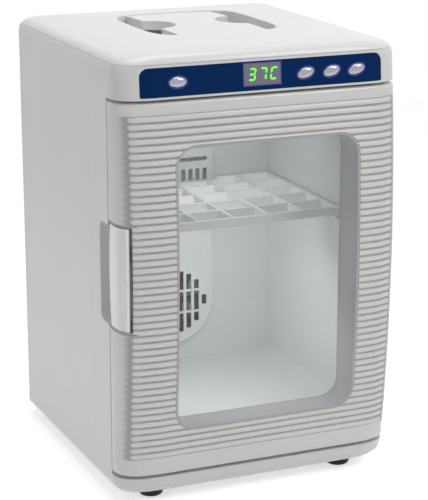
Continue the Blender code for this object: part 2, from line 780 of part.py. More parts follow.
def shelf(finish):
    half = CHAMBER_WIDTH / 2 - SHELF_SIDE_GAP
    back = CHAMBER_BACK_Y - 0.001
    front = back - SHELF_DEPTH
    tray = box("shelf", (-half, front, SHELF_Z), (half, back, SHELF_Z + SHELF_THICKNESS))
    step_x = (2 * half - 2 * SHELF_RIM + SHELF_BAR) / SHELF_COLUMNS
    step_y = (SHELF_DEPTH - 2 * SHELF_RIM + SHELF_BAR) / SHELF_ROWS
    tools = []
    for i in range(SHELF_COLUMNS):
        for j in range(SHELF_ROWS):
            x = -half + SHELF_RIM + i * step_x
            y = front + SHELF_RIM + j * step_y
            tools.append(box("cell", (x, y, SHELF_Z - 0.01),
                             (x + step_x - SHELF_BAR, y + step_y - SHELF_BAR,
                              SHELF_Z + SHELF_THICKNESS + 0.01)))
    duct = DUCT_HALF_WIDTH + 0.002
    tools.append(box("duct_notch", (-duct, CHAMBER_BACK_Y - DUCT_RAISE - 0.002, 0), (duct, BIG, 1)))
    back_bar = box("back_bar", (-duct - SHELF_RIM, CHAMBER_BACK_Y - DUCT_RAISE - 0.002 - SHELF_RIM,
                                SHELF_Z),
                   (duct + SHELF_RIM, CHAMBER_BACK_Y - DUCT_RAISE - 0.002, SHELF_Z + SHELF_THICKNESS))
    side_bars = [box("side_bar", (side * duct - (SHELF_RIM if side < 0 else 0),
                                  CHAMBER_BACK_Y - DUCT_RAISE - 0.004, SHELF_Z),
                     (side * duct + (SHELF_RIM if side > 0 else 0), back, SHELF_Z + SHELF_THICKNESS))
                 for side in (-1, 1)]
    cut(tray, *tools)
    join(tray, back_bar, *side_bars)
    return adopt(tray, finish)


# Air duct, fans and thermoelectric stack


def duct_outline(inset):
    half = DUCT_HALF_WIDTH - inset
    top = DUCT_TOP - inset
    points = [(half * math.cos(a), FAN_Z + half * math.sin(a))
              for a in [math.pi + math.pi * k / 20 for k in range(21)]]
    corner = 0.004
    for k in range(4):
        a = math.radians(90 * k / 3)
        points.append((half - corner + corner * math.cos(a), top - corner + corner * math.sin(a)))
    for k in range(4):
        a = math.radians(90 + 90 * k / 3)
        points.append((-half + corner + corner * math.cos(a), top - corner + corner * math.sin(a)))
    return points


def duct_cover(finish):
    front = CHAMBER_BACK_Y - DUCT_RAISE
    cover = prism("duct_cover", duct_outline(0), "Y", front, CHAMBER_BACK_Y - CLEARANCE)
    hollow = prism("duct_hollow", duct_outline(DUCT_SHEET), "Y", front + DUCT_SHEET, CHAMBER_BACK_Y + 0.01)
    cut(cover, hollow)
    tools = []
    middle = (GRILLE_COLUMNS - 1) / 2
    for k in range(GRILLE_COLUMNS):
        x = (k - middle) * GRILLE_PITCH
        reach = math.sqrt(GRILLE_RADIUS ** 2 - x ** 2) - 0.001
        for low, high in slot_runs(reach):
            tools.append(box("slot", (x - GRILLE_SLOT / 2, front - 0.01, FAN_Z + low),
                             (x + GRILLE_SLOT / 2, front + DUCT_SHEET + 0.001, FAN_Z + high)))
    tools.append(box("slot", (-0.0425, front - 0.01, 0.3035), (0.0425, front + DUCT_SHEET + 0.001, 0.308)))
    for k in range(GRILLE_COLUMNS + 1):
        x = (k - (GRILLE_COLUMNS) / 2) * 0.0087
        tools.append(box("slot", (x - 0.0027, front - 0.01, 0.281),
                         (x + 0.0027, front + DUCT_SHEET + 0.001, 0.2945)))
    cut(cover, *tools)
    return adopt(cover, finish)


def slot_runs(reach):
    """Split one column of the grille by two cross bars."""
    bar = 0.0025
    third = GRILLE_RADIUS / 3
    if reach < third + bar:
        return [(-reach, reach)]
    return [(-reach, -third - bar / 2), (-third + bar / 2, third - bar / 2), (third + bar / 2, reach)]


def fan_rotor(name, y_front, depth, tip, finish):
    """Hub with pitched blades, turning about Y at the middle of the stack."""
    centre = (0, y_front + depth / 2, FAN_Z)
    rotor = cylinder(name, centre, "Y", FAN_HUB_RADIUS, depth, segments=20)
    blades = []
    root = FAN_HUB_RADIUS - 0.0015
    for k in range(FAN_BLADES):
        bm = bmesh.new()
        bmesh.ops.create_cube(bm, size=1.0)
        chord = (depth - 0.0012) / math.sin(BLADE_PITCH)
        chord = min(chord, 0.016)
        bmesh.ops.scale(bm, vec=(tip - root, FAN_BLADE_SHEET, chord), verts=bm.verts)
        bmesh.ops.transform(bm, matrix=Matrix.Rotation(BLADE_PITCH + math.pi / 2, 4, "X"), verts=bm.verts)
        bmesh.ops.translate(bm, vec=((tip + root) / 2, 0, 0), verts=bm.verts)
        turn = Matrix.Rotation(math.tau * k / FAN_BLADES, 4, "Y")
        bmesh.ops.transform(bm, matrix=Matrix.Translation(centre) @ turn, verts=bm.verts)
        blades.append(place("blade", mesh_from(bm, "blade")))
    join(rotor, *blades)
    limit_low = y_front
    limit = cylinder("blade_limit", (0, limit_low + depth / 2, FAN_Z), "Y", tip, depth, segments=48)
    keep(rotor, limit)
    return adopt(rotor, finish)


def spokes(count, y_low, y_high, reach):
    made = []
    for k in range(count):
        bm = bmesh.new()
        bmesh.ops.create_cube(bm, size=1.0)
        bmesh.ops.scale(bm, vec=(reach, y_high - y_low, 0.0035), verts=bm.verts)
        bmesh.ops.translate(bm, vec=(reach / 2, 0, 0), verts=bm.verts)
        turn = Matrix.Rotation(math.tau * (k + 0.5) / count, 4, "Y")
        bmesh.ops.transform(bm, matrix=Matrix.Translation((0, (y_low + y_high) / 2, FAN_Z)) @ turn,
                            verts=bm.verts)
        made.append(place("spoke", mesh_from(bm, "spoke")))
    return made


def inner_fan_shroud(finish):
    middle = (INNER_FAN_FRONT_Y + INNER_FAN_BACK_Y) / 2
    shroud = cylinder("inner_fan_shroud", (0, middle, FAN_Z), "Y", FAN_SHROUD_RADIUS, INNER_FAN_DEPTH,
                      segments=36)
    cut(shroud, cylinder("bore", (0, middle, FAN_Z), "Y", FAN_SHROUD_RADIUS - FAN_SHROUD_WALL,
                         INNER_FAN_DEPTH + 0.01, segments=36))
    back = INNER_FAN_BACK_Y
    motor = cylinder("motor", (0, back - FAN_MOTOR_THICKNESS / 2, FAN_Z), "Y", FAN_HUB_RADIUS,
                     FAN_MOTOR_THICKNESS, segments=20)
    join(shroud, motor)
    join(shroud, *spokes(3, back - 0.0022, back - 0.0002, FAN_SHROUD_RADIUS - FAN_SHROUD_WALL / 2))
    return adopt(shroud, finish)


def inner_fan_rotor(finish):
    depth = INNER_FAN_DEPTH - FAN_MOTOR_THICKNESS - CLEARANCE - 0.0004
    tip = FAN_SHROUD_RADIUS - FAN_SHROUD_WALL - FAN_TIP_GAP
    return fan_rotor("inner_fan_rotor", INNER_FAN_FRONT_Y + 0.0004, depth, tip, finish)


def outer_fan_housing(finish):
    back = OUTER_FAN_FRONT_Y + OUTER_FAN_DEPTH
    half = OUTER_FAN_SIZE / 2
    outline = rounded_outline((-half, FAN_Z - half), (half, FAN_Z + half), [0.004] * 4, steps=3)
    housing = prism("outer_fan_housing", outline, "Y", OUTER_FAN_FRONT_Y, back)
    bore = cylinder("bore", (0, back, FAN_Z), "Y", half - 0.002, 0.06, segments=40)
    holes = [cylinder("hole", (sx * (half - 0.005), back, FAN_Z + sz * (half - 0.005)), "Y", 0.0018, 0.06,
                      segments=10)
             for sx in (-1, 1) for sz in (-1, 1)]
    cut(housing, bore, *holes)
    motor = cylinder("motor", (0, back - FAN_MOTOR_THICKNESS / 2, FAN_Z), "Y", FAN_HUB_RADIUS,
                     FAN_MOTOR_THICKNESS, segments=20)
    join(housing, motor)
    join(housing, *spokes(4, back - 0.0022, back - 0.0002, half - 0.001))
    return adopt(housing, finish)


def outer_fan_rotor(finish):
    depth = OUTER_FAN_DEPTH - FAN_MOTOR_THICKNESS - CLEARANCE - 0.0006
    tip = OUTER_FAN_SIZE / 2 - 0.002 - FAN_TIP_GAP
    return fan_rotor("outer_fan_rotor", OUTER_FAN_FRONT_Y + 0.0006, depth, tip, finish)


def comb(name, half, base_y, base, tips_y, low_z, high_z, finish):
    """Finned heat exchanger: a base plate with upright fins, cut from one outline."""
    way = 1 if tips_y > base_y else -1
    step = (2 * half - SINK_FIN) / (SINK_FINS - 1)
    inner = base_y + way * base
    points = [(-half, base_y)]
    for k in range(SINK_FINS):
        x = -half + k * step
        points.append((x, tips_y))
        points.append((x + SINK_FIN, tips_y))
        if k < SINK_FINS - 1:
            points.append((x + SINK_FIN, inner))
            points.append((x + step, inner))
    points.append((half, base_y))
    return prism(name, points, "Z", low_z, high_z, finish)


def cold_heat_sink(finish):
    half = COLD_SINK_SIZE / 2
    return comb("cold_heat_sink", half, COLD_SINK_BACK_Y, SINK_BASE, COLD_SINK_FRONT_Y, FAN_Z - half,
                FAN_Z + half, finish)


def hot_heat_sink(finish):
    sink = comb("hot_heat_sink", HOT_SINK_WIDTH / 2, HOT_SINK_FRONT_Y, SINK_BASE, HOT_SINK_BACK_Y,
                FAN_Z - HOT_SINK_HEIGHT / 2, FAN_Z + HOT_SINK_HEIGHT / 2, None)
    half = MODULE_SIZE / 2 + 0.004
    pad = box("spreader", (-half, MODULE_BACK_Y + CLEARANCE, FAN_Z - half),
              (half, HOT_SINK_FRONT_Y + 0.001, FAN_Z + half))
    join(sink, pad)
    return adopt(sink, finish)


def thermoelectric_module(finish):
    half = MODULE_SIZE / 2
    return box("thermoelectric_module", (-half, MODULE_FRONT_Y, FAN_Z - half),
               (half, MODULE_BACK_Y, FAN_Z + half), finish)


def power_supply_board(finish):
    face = FOAM_BACK_Y + 0.008
    board = box("power_supply_board", (-0.075, face, 0.262), (0.055, face + 0.0016, 0.352))
    pieces = [cylinder("post", (x, FOAM_BACK_Y + CLEARANCE + 0.0045, z), "Y", 0.003, 0.009, segments=10)
              for x in (-0.070, 0.050) for z in (0.267, 0.347)]
    pieces.append(box("transformer", (-0.06, face + 0.001, 0.28), (-0.025, face + 0.022, 0.318)))
    pieces.append(cylinder("capacitor", (0.0, face + 0.0105, 0.325), "Y", 0.010, 0.020, segments=16))
    pieces.append(box("regulator", (0.02, face + 0.001, 0.28), (0.042, face + 0.018, 0.284)))
    join(board, *pieces)
    return adopt(board, finish)


def power_inlet(finish):
    low = (INLET_X - INLET_WIDTH / 2, BACK_Y - 0.022, INLET_Z - INLET_HEIGHT / 2)
    high = (INLET_X + INLET_WIDTH / 2, BACK_Y, INLET_Z + INLET_HEIGHT / 2)
    inlet = box("power_inlet", low, high)
    half_w, half_h = INLET_WIDTH / 2 - 0.003, INLET_HEIGHT / 2 - 0.003
    mouth = rounded_outline((INLET_X - half_w, INLET_Z - half_h), (INLET_X + half_w, INLET_Z + half_h),
                            [0.001, 0.001, 0.005, 0.005], steps=3)
    cut(inlet, prism("mouth", mouth, "Y", BACK_Y - 0.016, BACK_Y + 0.01))
    flange_wall = BACK_Y - WALL - CLEARANCE
    flange = box("flange", (low[0] - 0.004, flange_wall - 0.002, low[2] - 0.004),
                 (high[0] + 0.004, flange_wall, high[2] + 0.004))
    hole = box("hole", (low[0] + 0.001, flange_wall - 0.01, low[2] + 0.001),
               (high[0] - 0.001, flange_wall + 0.01, high[2] - 0.001))
    cut(flange, hole)
    blades = [box("blade", (INLET_X + dx - 0.001, BACK_Y - 0.018, INLET_Z + dz - 0.002),
                  (INLET_X + dx + 0.001, BACK_Y - 0.005, INLET_Z + dz + 0.002))
              for dx, dz in ((-0.006, -0.001), (0.006, -0.001), (0.0, 0.003))]
    join(inlet, flange, *blades)
    return adopt(inlet, finish)


# Front controls

def control_panel(finish):
    panel = prism("control_panel", panel_outline(), "Y", -BIG, SEAM_Y)
    keep(panel, body_block("panel_face"))
    cut(panel, body_block("panel_back", PANEL_SHEET))
    cut(panel, display_hole(CLEARANCE), *button_holes())
    return adopt(panel, finish)


def display_window(finish):
    lens = display_hole()
    lens.name = "display_window"
    keep(lens, body_block("lens_face"))
    cut(lens, body_block("lens_back", LENS_DEPTH))
    return adopt(lens, finish)


def button(name, finish):
    """Domed oval key with a flange that keeps it behind the fascia."""
    x = BUTTON_XS[name]
    tilt = button_tilt(name)
    face = front_y(BUTTON_Z)
    half_w, half_h = BUTTON_WIDTH / 2, BUTTON_HEIGHT / 2
    stations = [(face + WALL + KEY_TAIL, 1.0, KEY_FLANGE), (face + WALL + KEY_SEAT, 1.0, KEY_FLANGE),
                (face + WALL + KEY_SEAT, 1.0, 0.0), (face - BUTTON_PROUD * 0.25, 1.0, 0.0),
                (face - BUTTON_PROUD * 0.60, 0.88, 0.0), (face - BUTTON_PROUD * 0.88, 0.62, 0.0),
                (face - BUTTON_PROUD, 0.25, 0.0)]
    rings = []
    for y, share, grow in stations:
        outline = ellipse((x, BUTTON_Z), half_w * share + grow, half_h * share + grow, tilt)
        rings.append([(u, y, v) for u, v in outline])
    return loft(name, rings, finish)


def display_board(finish):
    """Circuit board behind the fascia, with a switch behind each key."""
    face = front_y(BUTTON_Z)
    switch_face = face + WALL + KEY_TAIL + BUTTON_TRAVEL + CLEARANCE
    board_face = switch_face + 0.0035
    board = box("display_board", (-0.118, board_face, 0.433), (0.122, board_face + 0.0016, 0.4575))
    pieces = []
    for x in BUTTON_XS.values():
        pieces.append(box("switch", (x - 0.003, switch_face, BUTTON_Z - 0.003),
                          (x + 0.003, board_face + 0.001, BUTTON_Z + 0.003)))
    digits_back = front_y(DISPLAY_Z + DISPLAY_HEIGHT / 2) + LENS_DEPTH + CLEARANCE
    pieces.append(box("digits", (DISPLAY_X - 0.018, digits_back, DISPLAY_Z - 0.009),
                      (DISPLAY_X + 0.018, board_face + 0.001, DISPLAY_Z + 0.009)))
    for x in (-0.113, 0.117, -0.045):
        post_face = front_y(0.436) + WALL + CLEARANCE + 0.0004
        pieces.append(box("post", (x - 0.002, post_face, 0.4335), (x + 0.002, board_face + 0.001, 0.4375)))
    join(board, *pieces)
    return adopt(board, finish)


# Door

def set_back(x, inset=0.0):
    """How far the front face falls back at a place across the width."""
    reach = CORNER_WIDTH - inset
    share = min(max((abs(x) - (HALF_WIDTH - CORNER_WIDTH)) / reach, 0.0), 1.0)
    return (CORNER_DEPTH - inset) * (1 - (1 - share ** CORNER_POWER) ** (1 / CORNER_POWER))


def door_columns(inset, extra=()):
    """Places across the door, denser where the corners turn."""
    start = HALF_WIDTH - CORNER_WIDTH
    half = [start + corner_point(90 * k / 4, inset)[0] for k in range(5)]
    columns = [-x for x in reversed(half)] + half
    for x in extra:
        columns = [c for c in columns if abs(c - x) > 0.003 or abs(c) > HALF_WIDTH - inset - 0.001]
        columns.append(x)
    return sorted(columns)


def rib_depth(x, z):
    """Depth of the grooves between the ribs at one place on the cover."""
    run = (z - RIB_FIRST_Z) / RIB_PITCH
    if run < 0 or run > RIB_COUNT:
        return 0.0
    phase = 2 * (run - math.floor(run + 1e-6)) - 1
    left = min(max((x - RIB_LEFT_X) / RIB_FADE, 0), 1)
    right = min(max((RIB_RIGHT_X - x) / RIB_FADE, 0), 1)
    return RIB_DEPTH * phase ** 2 * min(left, right)


def door_plan(z, inset, pull, back, ribbed, columns):
    """Closed plan outline of the door at one height."""
    side = HALF_WIDTH - inset
    points = []
    for x in columns:
        y = front_y(z) + inset + pull + set_back(x, inset)
        if ribbed:
            y += rib_depth(x, z)
        points.append((x * (side - pull) / side, y))
    sweep = HINGE_SWEEP_RADIUS - inset
    first = HINGE_Y + math.sqrt(sweep ** 2 - (side - HINGE_X) ** 2)
    reach = sweep ** 2 - (DOOR_BACK_Y - HINGE_Y) ** 2
    last = HINGE_X + math.sqrt(max(reach, 0.0))
    points += [(side - pull, first), (last, back), (-(side - pull), back)]
    return points


def door_block(name, inset=0.0, ribbed=False, back=DOOR_BACK_Y):
    """The door's outer form, with or without its ribs."""
    low, high = DOOR_BOTTOM + inset, DOOR_TOP - inset
    extra = (RIB_LEFT_X, RIB_LEFT_X + RIB_FADE, RIB_RIGHT_X - RIB_FADE, RIB_RIGHT_X) if ribbed else ()
    columns = door_columns(inset, extra)
    levels = [(low, DOOR_EDGE), (low + DOOR_EDGE * 0.3, DOOR_EDGE * 0.3), (low + DOOR_EDGE, 0)]
    if ribbed:
        levels += [(RIB_FIRST_Z + RIB_PITCH * k / 4, 0) for k in range(4 * RIB_COUNT + 1)]
    else:
        levels += [(low + (high - low) * k / 9, 0) for k in range(1, 9)]
    levels += [(high - DOOR_EDGE, 0), (high - DOOR_EDGE * 0.3, DOOR_EDGE * 0.3), (high, DOOR_EDGE)]
    rings = [[(x, y, z) for x, y in door_plan(z, inset, pull, back, ribbed, columns)] for z, pull in levels]
    return loft(name, rings)


def window_outline(grow=0.0):
    half = WINDOW_WIDTH / 2 + grow
    return rounded_outline((WINDOW_X - half, WINDOW_BOTTOM - grow), (WINDOW_X + half, WINDOW_TOP + grow),
                           [WINDOW_RADIUS + grow] * 4)


def handle_space(name, grow):
    """Space that the pull handle and its bezel take from the door's left edge."""
    return box(name, (-BIG, -BIG, HANDLE_BOTTOM - grow), (HANDLE_POCKET_X + grow, SEAM_Y,
                                                          HANDLE_BOTTOM + HANDLE_HEIGHT + grow))


def bush_holes(grow):
    radius = HINGE_PIN_RADIUS + CLEARANCE + HINGE_BUSH_WALL + grow
    length = HINGE_PIN_REACH + 0.002
    return [cylinder("bush_hole", (HINGE_X, HINGE_Y, z), "Z", radius, 2 * (length + grow), segments=24)
            for z in (DOOR_BOTTOM, DOOR_TOP)]


def door_cover(finish):
    cover = door_block("door_cover", ribbed=True)
    hollow = door_block("door_hollow", WALL, back=SEAM_Y + 0.02)
    window = prism("window_hole", window_outline(WINDOW_FRAME_WALL + CLEARANCE), "Y", -BIG, SEAM_Y)
    cut(cover, hollow, window)
    cut(cover, handle_space("handle_space", BEZEL_WALL + CLEARANCE), *bush_holes(CLEARANCE))
    return adopt(cover, finish)


def door_insulation(finish):
    liner_face = DOOR_BACK_Y - DOOR_LINER_SHEET - CLEARANCE
    core = door_block("door_insulation", WALL + CLEARANCE)
    keep(core, box("region", (-BIG, -BIG, 0), (BIG, liner_face, 1)))
    window = prism("window_hole", window_outline(WINDOW_FRAME_WALL + CLEARANCE), "Y", -BIG, SEAM_Y)
    cut(core, window, handle_space("handle_space", BEZEL_WALL + CLEARANCE), *bush_holes(CLEARANCE))
    return adopt(core, finish)


def door_inner_liner(finish):
    low = (-(HALF_WIDTH - WALL - CLEARANCE), DOOR_BOTTOM + WALL + CLEARANCE)
    high = (HINGE_X - 0.0008, DOOR_TOP - WALL - CLEARANCE)
    outline = rounded_outline(low, high, [0.002] * 4, steps=2)
    sheet = prism("door_inner_liner", outline, "Y", DOOR_BACK_Y - DOOR_LINER_SHEET, DOOR_BACK_Y)
    window = prism("window_hole", window_outline(WINDOW_FRAME_WALL + CLEARANCE), "Y", -BIG, SEAM_Y)
    cut(sheet, window, handle_space("handle_space", BEZEL_WALL + CLEARANCE), *bush_holes(CLEARANCE))
    return adopt(sheet, finish)


def door_gasket(finish):
    half = CHAMBER_WIDTH / 2
    inner = rounded_outline((-half - 0.003, CHAMBER_BOTTOM - 0.003), (half + 0.003, CHAMBER_TOP + 0.003),
                            [0.008] * 4)
    outer = rounded_outline((-half - 0.011, CHAMBER_BOTTOM - 0.011), (half + 0.011, CHAMBER_TOP + 0.011),
                            [0.014] * 4)
    seal = prism("door_gasket", outer, "Y", DOOR_BACK_Y + CLEARANCE, SEAM_Y - CLEARANCE)
    cut(seal, prism("seal_hole", inner, "Y", -BIG, BIG))
    return adopt(seal, finish)


def window_frame(finish):
    frame = prism("window_frame", window_outline(WINDOW_FRAME_WALL), "Y", -BIG, DOOR_BACK_Y)
    keep(frame, door_block("frame_limit", 0.0008))
    cut(frame, prism("frame_hole", window_outline(), "Y", -BIG, SEAM_Y))
    return adopt(frame, finish)


def window_outer_pane(finish):
    pane = prism("window_outer_pane", window_outline(-CLEARANCE), "Y", -BIG, HINGE_Y)
    keep(pane, door_block("pane_face", 0.0012))
    cut(pane, door_block("pane_back", 0.0012 + PANE))
    return adopt(pane, finish)


def window_inner_pane(finish):
    return prism("window_inner_pane", window_outline(-CLEARANCE), "Y", DOOR_BACK_Y - 0.001 - PANE,
                 DOOR_BACK_Y - 0.001, finish)


def hinge_pin(name, end, finish):
    """Headed pin through the frame into the door's bush; end is 1 at the top, -1 below."""
    wall_z = FASCIA_BOTTOM if end > 0 else PLINTH_TOP
    door_z = DOOR_TOP if end > 0 else DOOR_BOTTOM
    tip = door_z - end * HINGE_PIN_REACH
    seat = wall_z + end * (WALL + CLEARANCE)
    head = seat + end * 0.0025
    profile = [(0, head), (HINGE_HEAD_RADIUS, head), (HINGE_HEAD_RADIUS, seat), (HINGE_PIN_RADIUS, seat),
               (HINGE_PIN_RADIUS, tip), (0, tip)]
    if end < 0:
        profile.reverse()
    return turned(name, profile, (HINGE_X, HINGE_Y, 0), "Z", finish, steps=20)


def hinge_bush(name, end, finish):
    inner = HINGE_PIN_RADIUS + CLEARANCE
    outer = inner + HINGE_BUSH_WALL
    length = HINGE_PIN_REACH + 0.002
    door_z = DOOR_TOP if end > 0 else DOOR_BOTTOM
    middle = door_z - end * length / 2
    bush = cylinder(name, (HINGE_X, HINGE_Y, middle), "Z", outer, length, segments=24)
    cut(bush, cylinder("bore", (HINGE_X, HINGE_Y, middle), "Z", inner, length + 0.01, segments=20))
    return adopt(bush, finish)


# Pull handle


def handle_bezel(finish):
    """Grey lining of the handle's pocket: inner wall, top and bottom."""
    bezel = door_block("handle_bezel", 0.0004)
    low = (-BIG, -BIG, HANDLE_BOTTOM - BEZEL_WALL)
    high = (HANDLE_POCKET_X + BEZEL_WALL, DOOR_BACK_Y - CLEARANCE,
            HANDLE_BOTTOM + HANDLE_HEIGHT + BEZEL_WALL)
    keep(bezel, box("bezel_region", low, high))
    cut(bezel, handle_space("pocket", 0))
    return adopt(bezel, finish)


def handle_section(z):
    """Plan outline of the handle's bent sheet at one height."""
    share = (2 * (z - HANDLE_LOW) / (HANDLE_HIGH - HANDLE_LOW) - 1) ** 2
    rear = DOOR_BACK_Y - 0.0006 - HANDLE_BOW * share
    columns = [-HALF_WIDTH, -0.1543, -0.1527, -0.1500, HANDLE_FRONT_X]
    outer = [(x, front_y(z) + set_back(x)) for x in columns]
    inner = [(x + 0.0004 * k, y) for k, (x, y) in enumerate(
        [(-HALF_WIDTH + HANDLE_SHEET, front_y(z) + set_back(-HALF_WIDTH) + 0.001)])]
    inner += [(x, front_y(z) + HANDLE_SHEET + set_back(x + 0.0002, HANDLE_SHEET))
              for x in (-0.1500, -0.1482, HANDLE_FRONT_X)]
    return [(-HALF_WIDTH, rear)] + outer + list(reversed(inner)) + [(-HALF_WIDTH + HANDLE_SHEET, rear)]


def latch_handle(finish):
    levels = [HANDLE_LOW + (HANDLE_HIGH - HANDLE_LOW) * k / 8 for k in range(9)]
    handle = loft("latch_handle", [[(x, y, z) for x, y in handle_section(z)] for z in levels])
    tools = []
    for low, high in ((HANDLE_LOW, SPRING_GAP_LOW), (SPRING_GAP_HIGH, HANDLE_HIGH)):
        tools.append(cylinder("boss", (HANDLE_PIVOT_X, HANDLE_PIVOT_Y, (low + high) / 2), "Z",
                              HANDLE_BOSS_RADIUS, high - low, segments=20))
        tools.append(box("web", (HANDLE_PIVOT_X - 0.0022, HANDLE_PIVOT_Y - 0.0085, low),
                         (HANDLE_PIVOT_X + 0.0004, HANDLE_PIVOT_Y, high)))
    tip = -HALF_WIDTH + FINGER_DEPTH - HOOK_GAP
    tools.append(box("arm", (tip - 0.0034, HANDLE_PIVOT_Y, HOOK_LOW),
                     (tip - 0.0012, SEAM_Y + 0.006, HOOK_HIGH)))
    tools.append(box("nose", (tip - 0.0014, SEAM_Y + 0.003, HOOK_LOW), (tip, SEAM_Y + 0.006, HOOK_HIGH)))
    join(handle, *tools)
    cut(handle, cylinder("pin_hole", (HANDLE_PIVOT_X, HANDLE_PIVOT_Y, 0.25), "Z",
                         HANDLE_PIN_RADIUS + CLEARANCE, 0.3, segments=16))
    return adopt(handle, finish)


def handle_pin(finish):
    low = HANDLE_BOTTOM + CLEARANCE
    high = HANDLE_BOTTOM + HANDLE_HEIGHT - CLEARANCE
    return cylinder("handle_pin", (HANDLE_PIVOT_X, HANDLE_PIVOT_Y, (low + high) / 2), "Z",
                    HANDLE_PIN_RADIUS,
                    high - low, finish, segments=12)


def handle_spring(finish):
    """Coil round the handle's pin."""
    curve = bpy.data.curves.new("handle_spring", "CURVE")
    curve.dimensions = "3D"
    curve.bevel_depth = SPRING_WIRE
    curve.bevel_resolution = 1
    curve.use_fill_caps = True
    per_turn = 8
    count = SPRING_TURNS * per_turn + 1
    radius = HANDLE_PIN_RADIUS + CLEARANCE + SPRING_WIRE
    low = SPRING_GAP_LOW + CLEARANCE + SPRING_WIRE
    rise = SPRING_GAP_HIGH - SPRING_GAP_LOW - 2 * (CLEARANCE + SPRING_WIRE)
    spline = curve.splines.new("POLY")
    spline.points.add(count - 1)
    for k, point in enumerate(spline.points):
        angle = math.tau * k / per_turn
        point.co = (HANDLE_PIVOT_X + radius * math.cos(angle), HANDLE_PIVOT_Y + radius * math.sin(angle),
                    low + rise * k / (count - 1), 1)
    holder = bpy.data.objects.new("handle_spring", curve)
    CUTTERS.objects.link(holder)
    mesh = settle(holder)
    bpy.data.objects.remove(holder, do_unlink=True)
    bm = bmesh.new()
    bm.from_mesh(mesh)
    bmesh.ops.remove_doubles(bm, verts=bm.verts, dist=1e-6)
    return place("handle_spring", mesh_from(bm, "handle_spring"), finish)


def latch_keeper(finish):
    return box("latch_keeper", KEEPER_LOW, KEEPER_HIGH, finish)


# Feet

def foot(name, x, y, finish):
    top = FOOT_HEIGHT - CLEARANCE
    profile = [(0, top), (FOOT_RADIUS, top), (FOOT_RADIUS, 0.004), (FOOT_RADIUS - 0.0015, 0.0008),
               (FOOT_RADIUS - 0.0025, 0), (0, 0)]
    return turned(name, profile, (x, y, 0), "Z", finish, steps=18)


def build():
    clear_scene()
    white = material("white_plastic", (0.80, 0.80, 0.79), 0.30)
    liner_white = material("liner_white", (0.82, 0.84, 0.84), 0.45)
    grey = material("grey_plastic", (0.33, 0.33, 0.33), 0.45)
    blue = material("panel_blue", (0.0, 0.025, 0.112), 0.25)
    black = material("black_rubber", (0.02, 0.02, 0.02), 0.7)
    black_plastic = material("black_plastic", (0.03, 0.03, 0.03), 0.5)
    chrome = material("chrome", (0.75, 0.75, 0.78), 0.12, metallic=1.0)
    steel = material("steel", (0.55, 0.55, 0.56), 0.3, metallic=1.0)
    aluminium = material("aluminium", (0.72, 0.72, 0.73), 0.35, metallic=1.0)
    foam = material("foam", (0.80, 0.70, 0.42), 0.9)
    clear = material("clear_pane", (0.9, 0.95, 0.95), 0.05, alpha=0.35)
    lens = material("display_lens", (0.30, 0.32, 0.30), 0.15)
    board = material("circuit_board", (0.05, 0.22, 0.08), 0.6)
    ceramic = material("ceramic", (0.85, 0.85, 0.80), 0.6)

    front_frame(white)
    top_cover(white)
    side_panel("left_side_panel", -1, white)
    side_panel("right_side_panel", 1, white)
    base_pan(white)
    rear_cover(white)
    carry_tray(white)
    carry_grip(white)
    foam_insulation(foam)
    inner_liner(liner_white)
    shelf(liner_white)
    duct_cover(liner_white)
    inner_fan_shroud(black_plastic)
    inner_fan_rotor(black_plastic)
    cold_heat_sink(aluminium)
    thermoelectric_module(ceramic)
    hot_heat_sink(aluminium)
    outer_fan_housing(black_plastic)
    outer_fan_rotor(black_plastic)
    power_supply_board(board)
    power_inlet(black_plastic)
    control_panel(blue)
    display_window(lens)
    display_board(board)
    for name in BUTTON_XS:
        button(name, chrome)
    for place_name, y in (("front", FOOT_FRONT_Y), ("rear", FOOT_REAR_Y)):
        foot(f"foot_{place_name}_left", -FOOT_X, y, black)
        foot(f"foot_{place_name}_right", FOOT_X, y, black)
    latch_keeper(steel)
    hinge_pin("hinge_pin_top", 1, steel)
    hinge_pin("hinge_pin_bottom", -1, steel)

    door_cover(white)
    door_insulation(foam)
    door_inner_liner(liner_white)
    door_gasket(grey)
    window_frame(grey)
    window_outer_pane(clear)
    window_inner_pane(clear)
    hinge_bush("hinge_bush_top", 1, ceramic)
    hinge_bush("hinge_bush_bottom", -1, ceramic)
    handle_bezel(grey)
    latch_handle(white)
    handle_pin(steel)
    handle_spring(steel)


build()
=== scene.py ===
"""Looks of the mini incubator: finishes, trim, shelf, display digits, light, floor and camera.

Frame: X to the right seen from the front, front towards -Y, Z up, origin at the bottom centre, metres.
"""

import json
import math

import bmesh
import bpy
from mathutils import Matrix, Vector
from mathutils.bvhtree import BVHTree

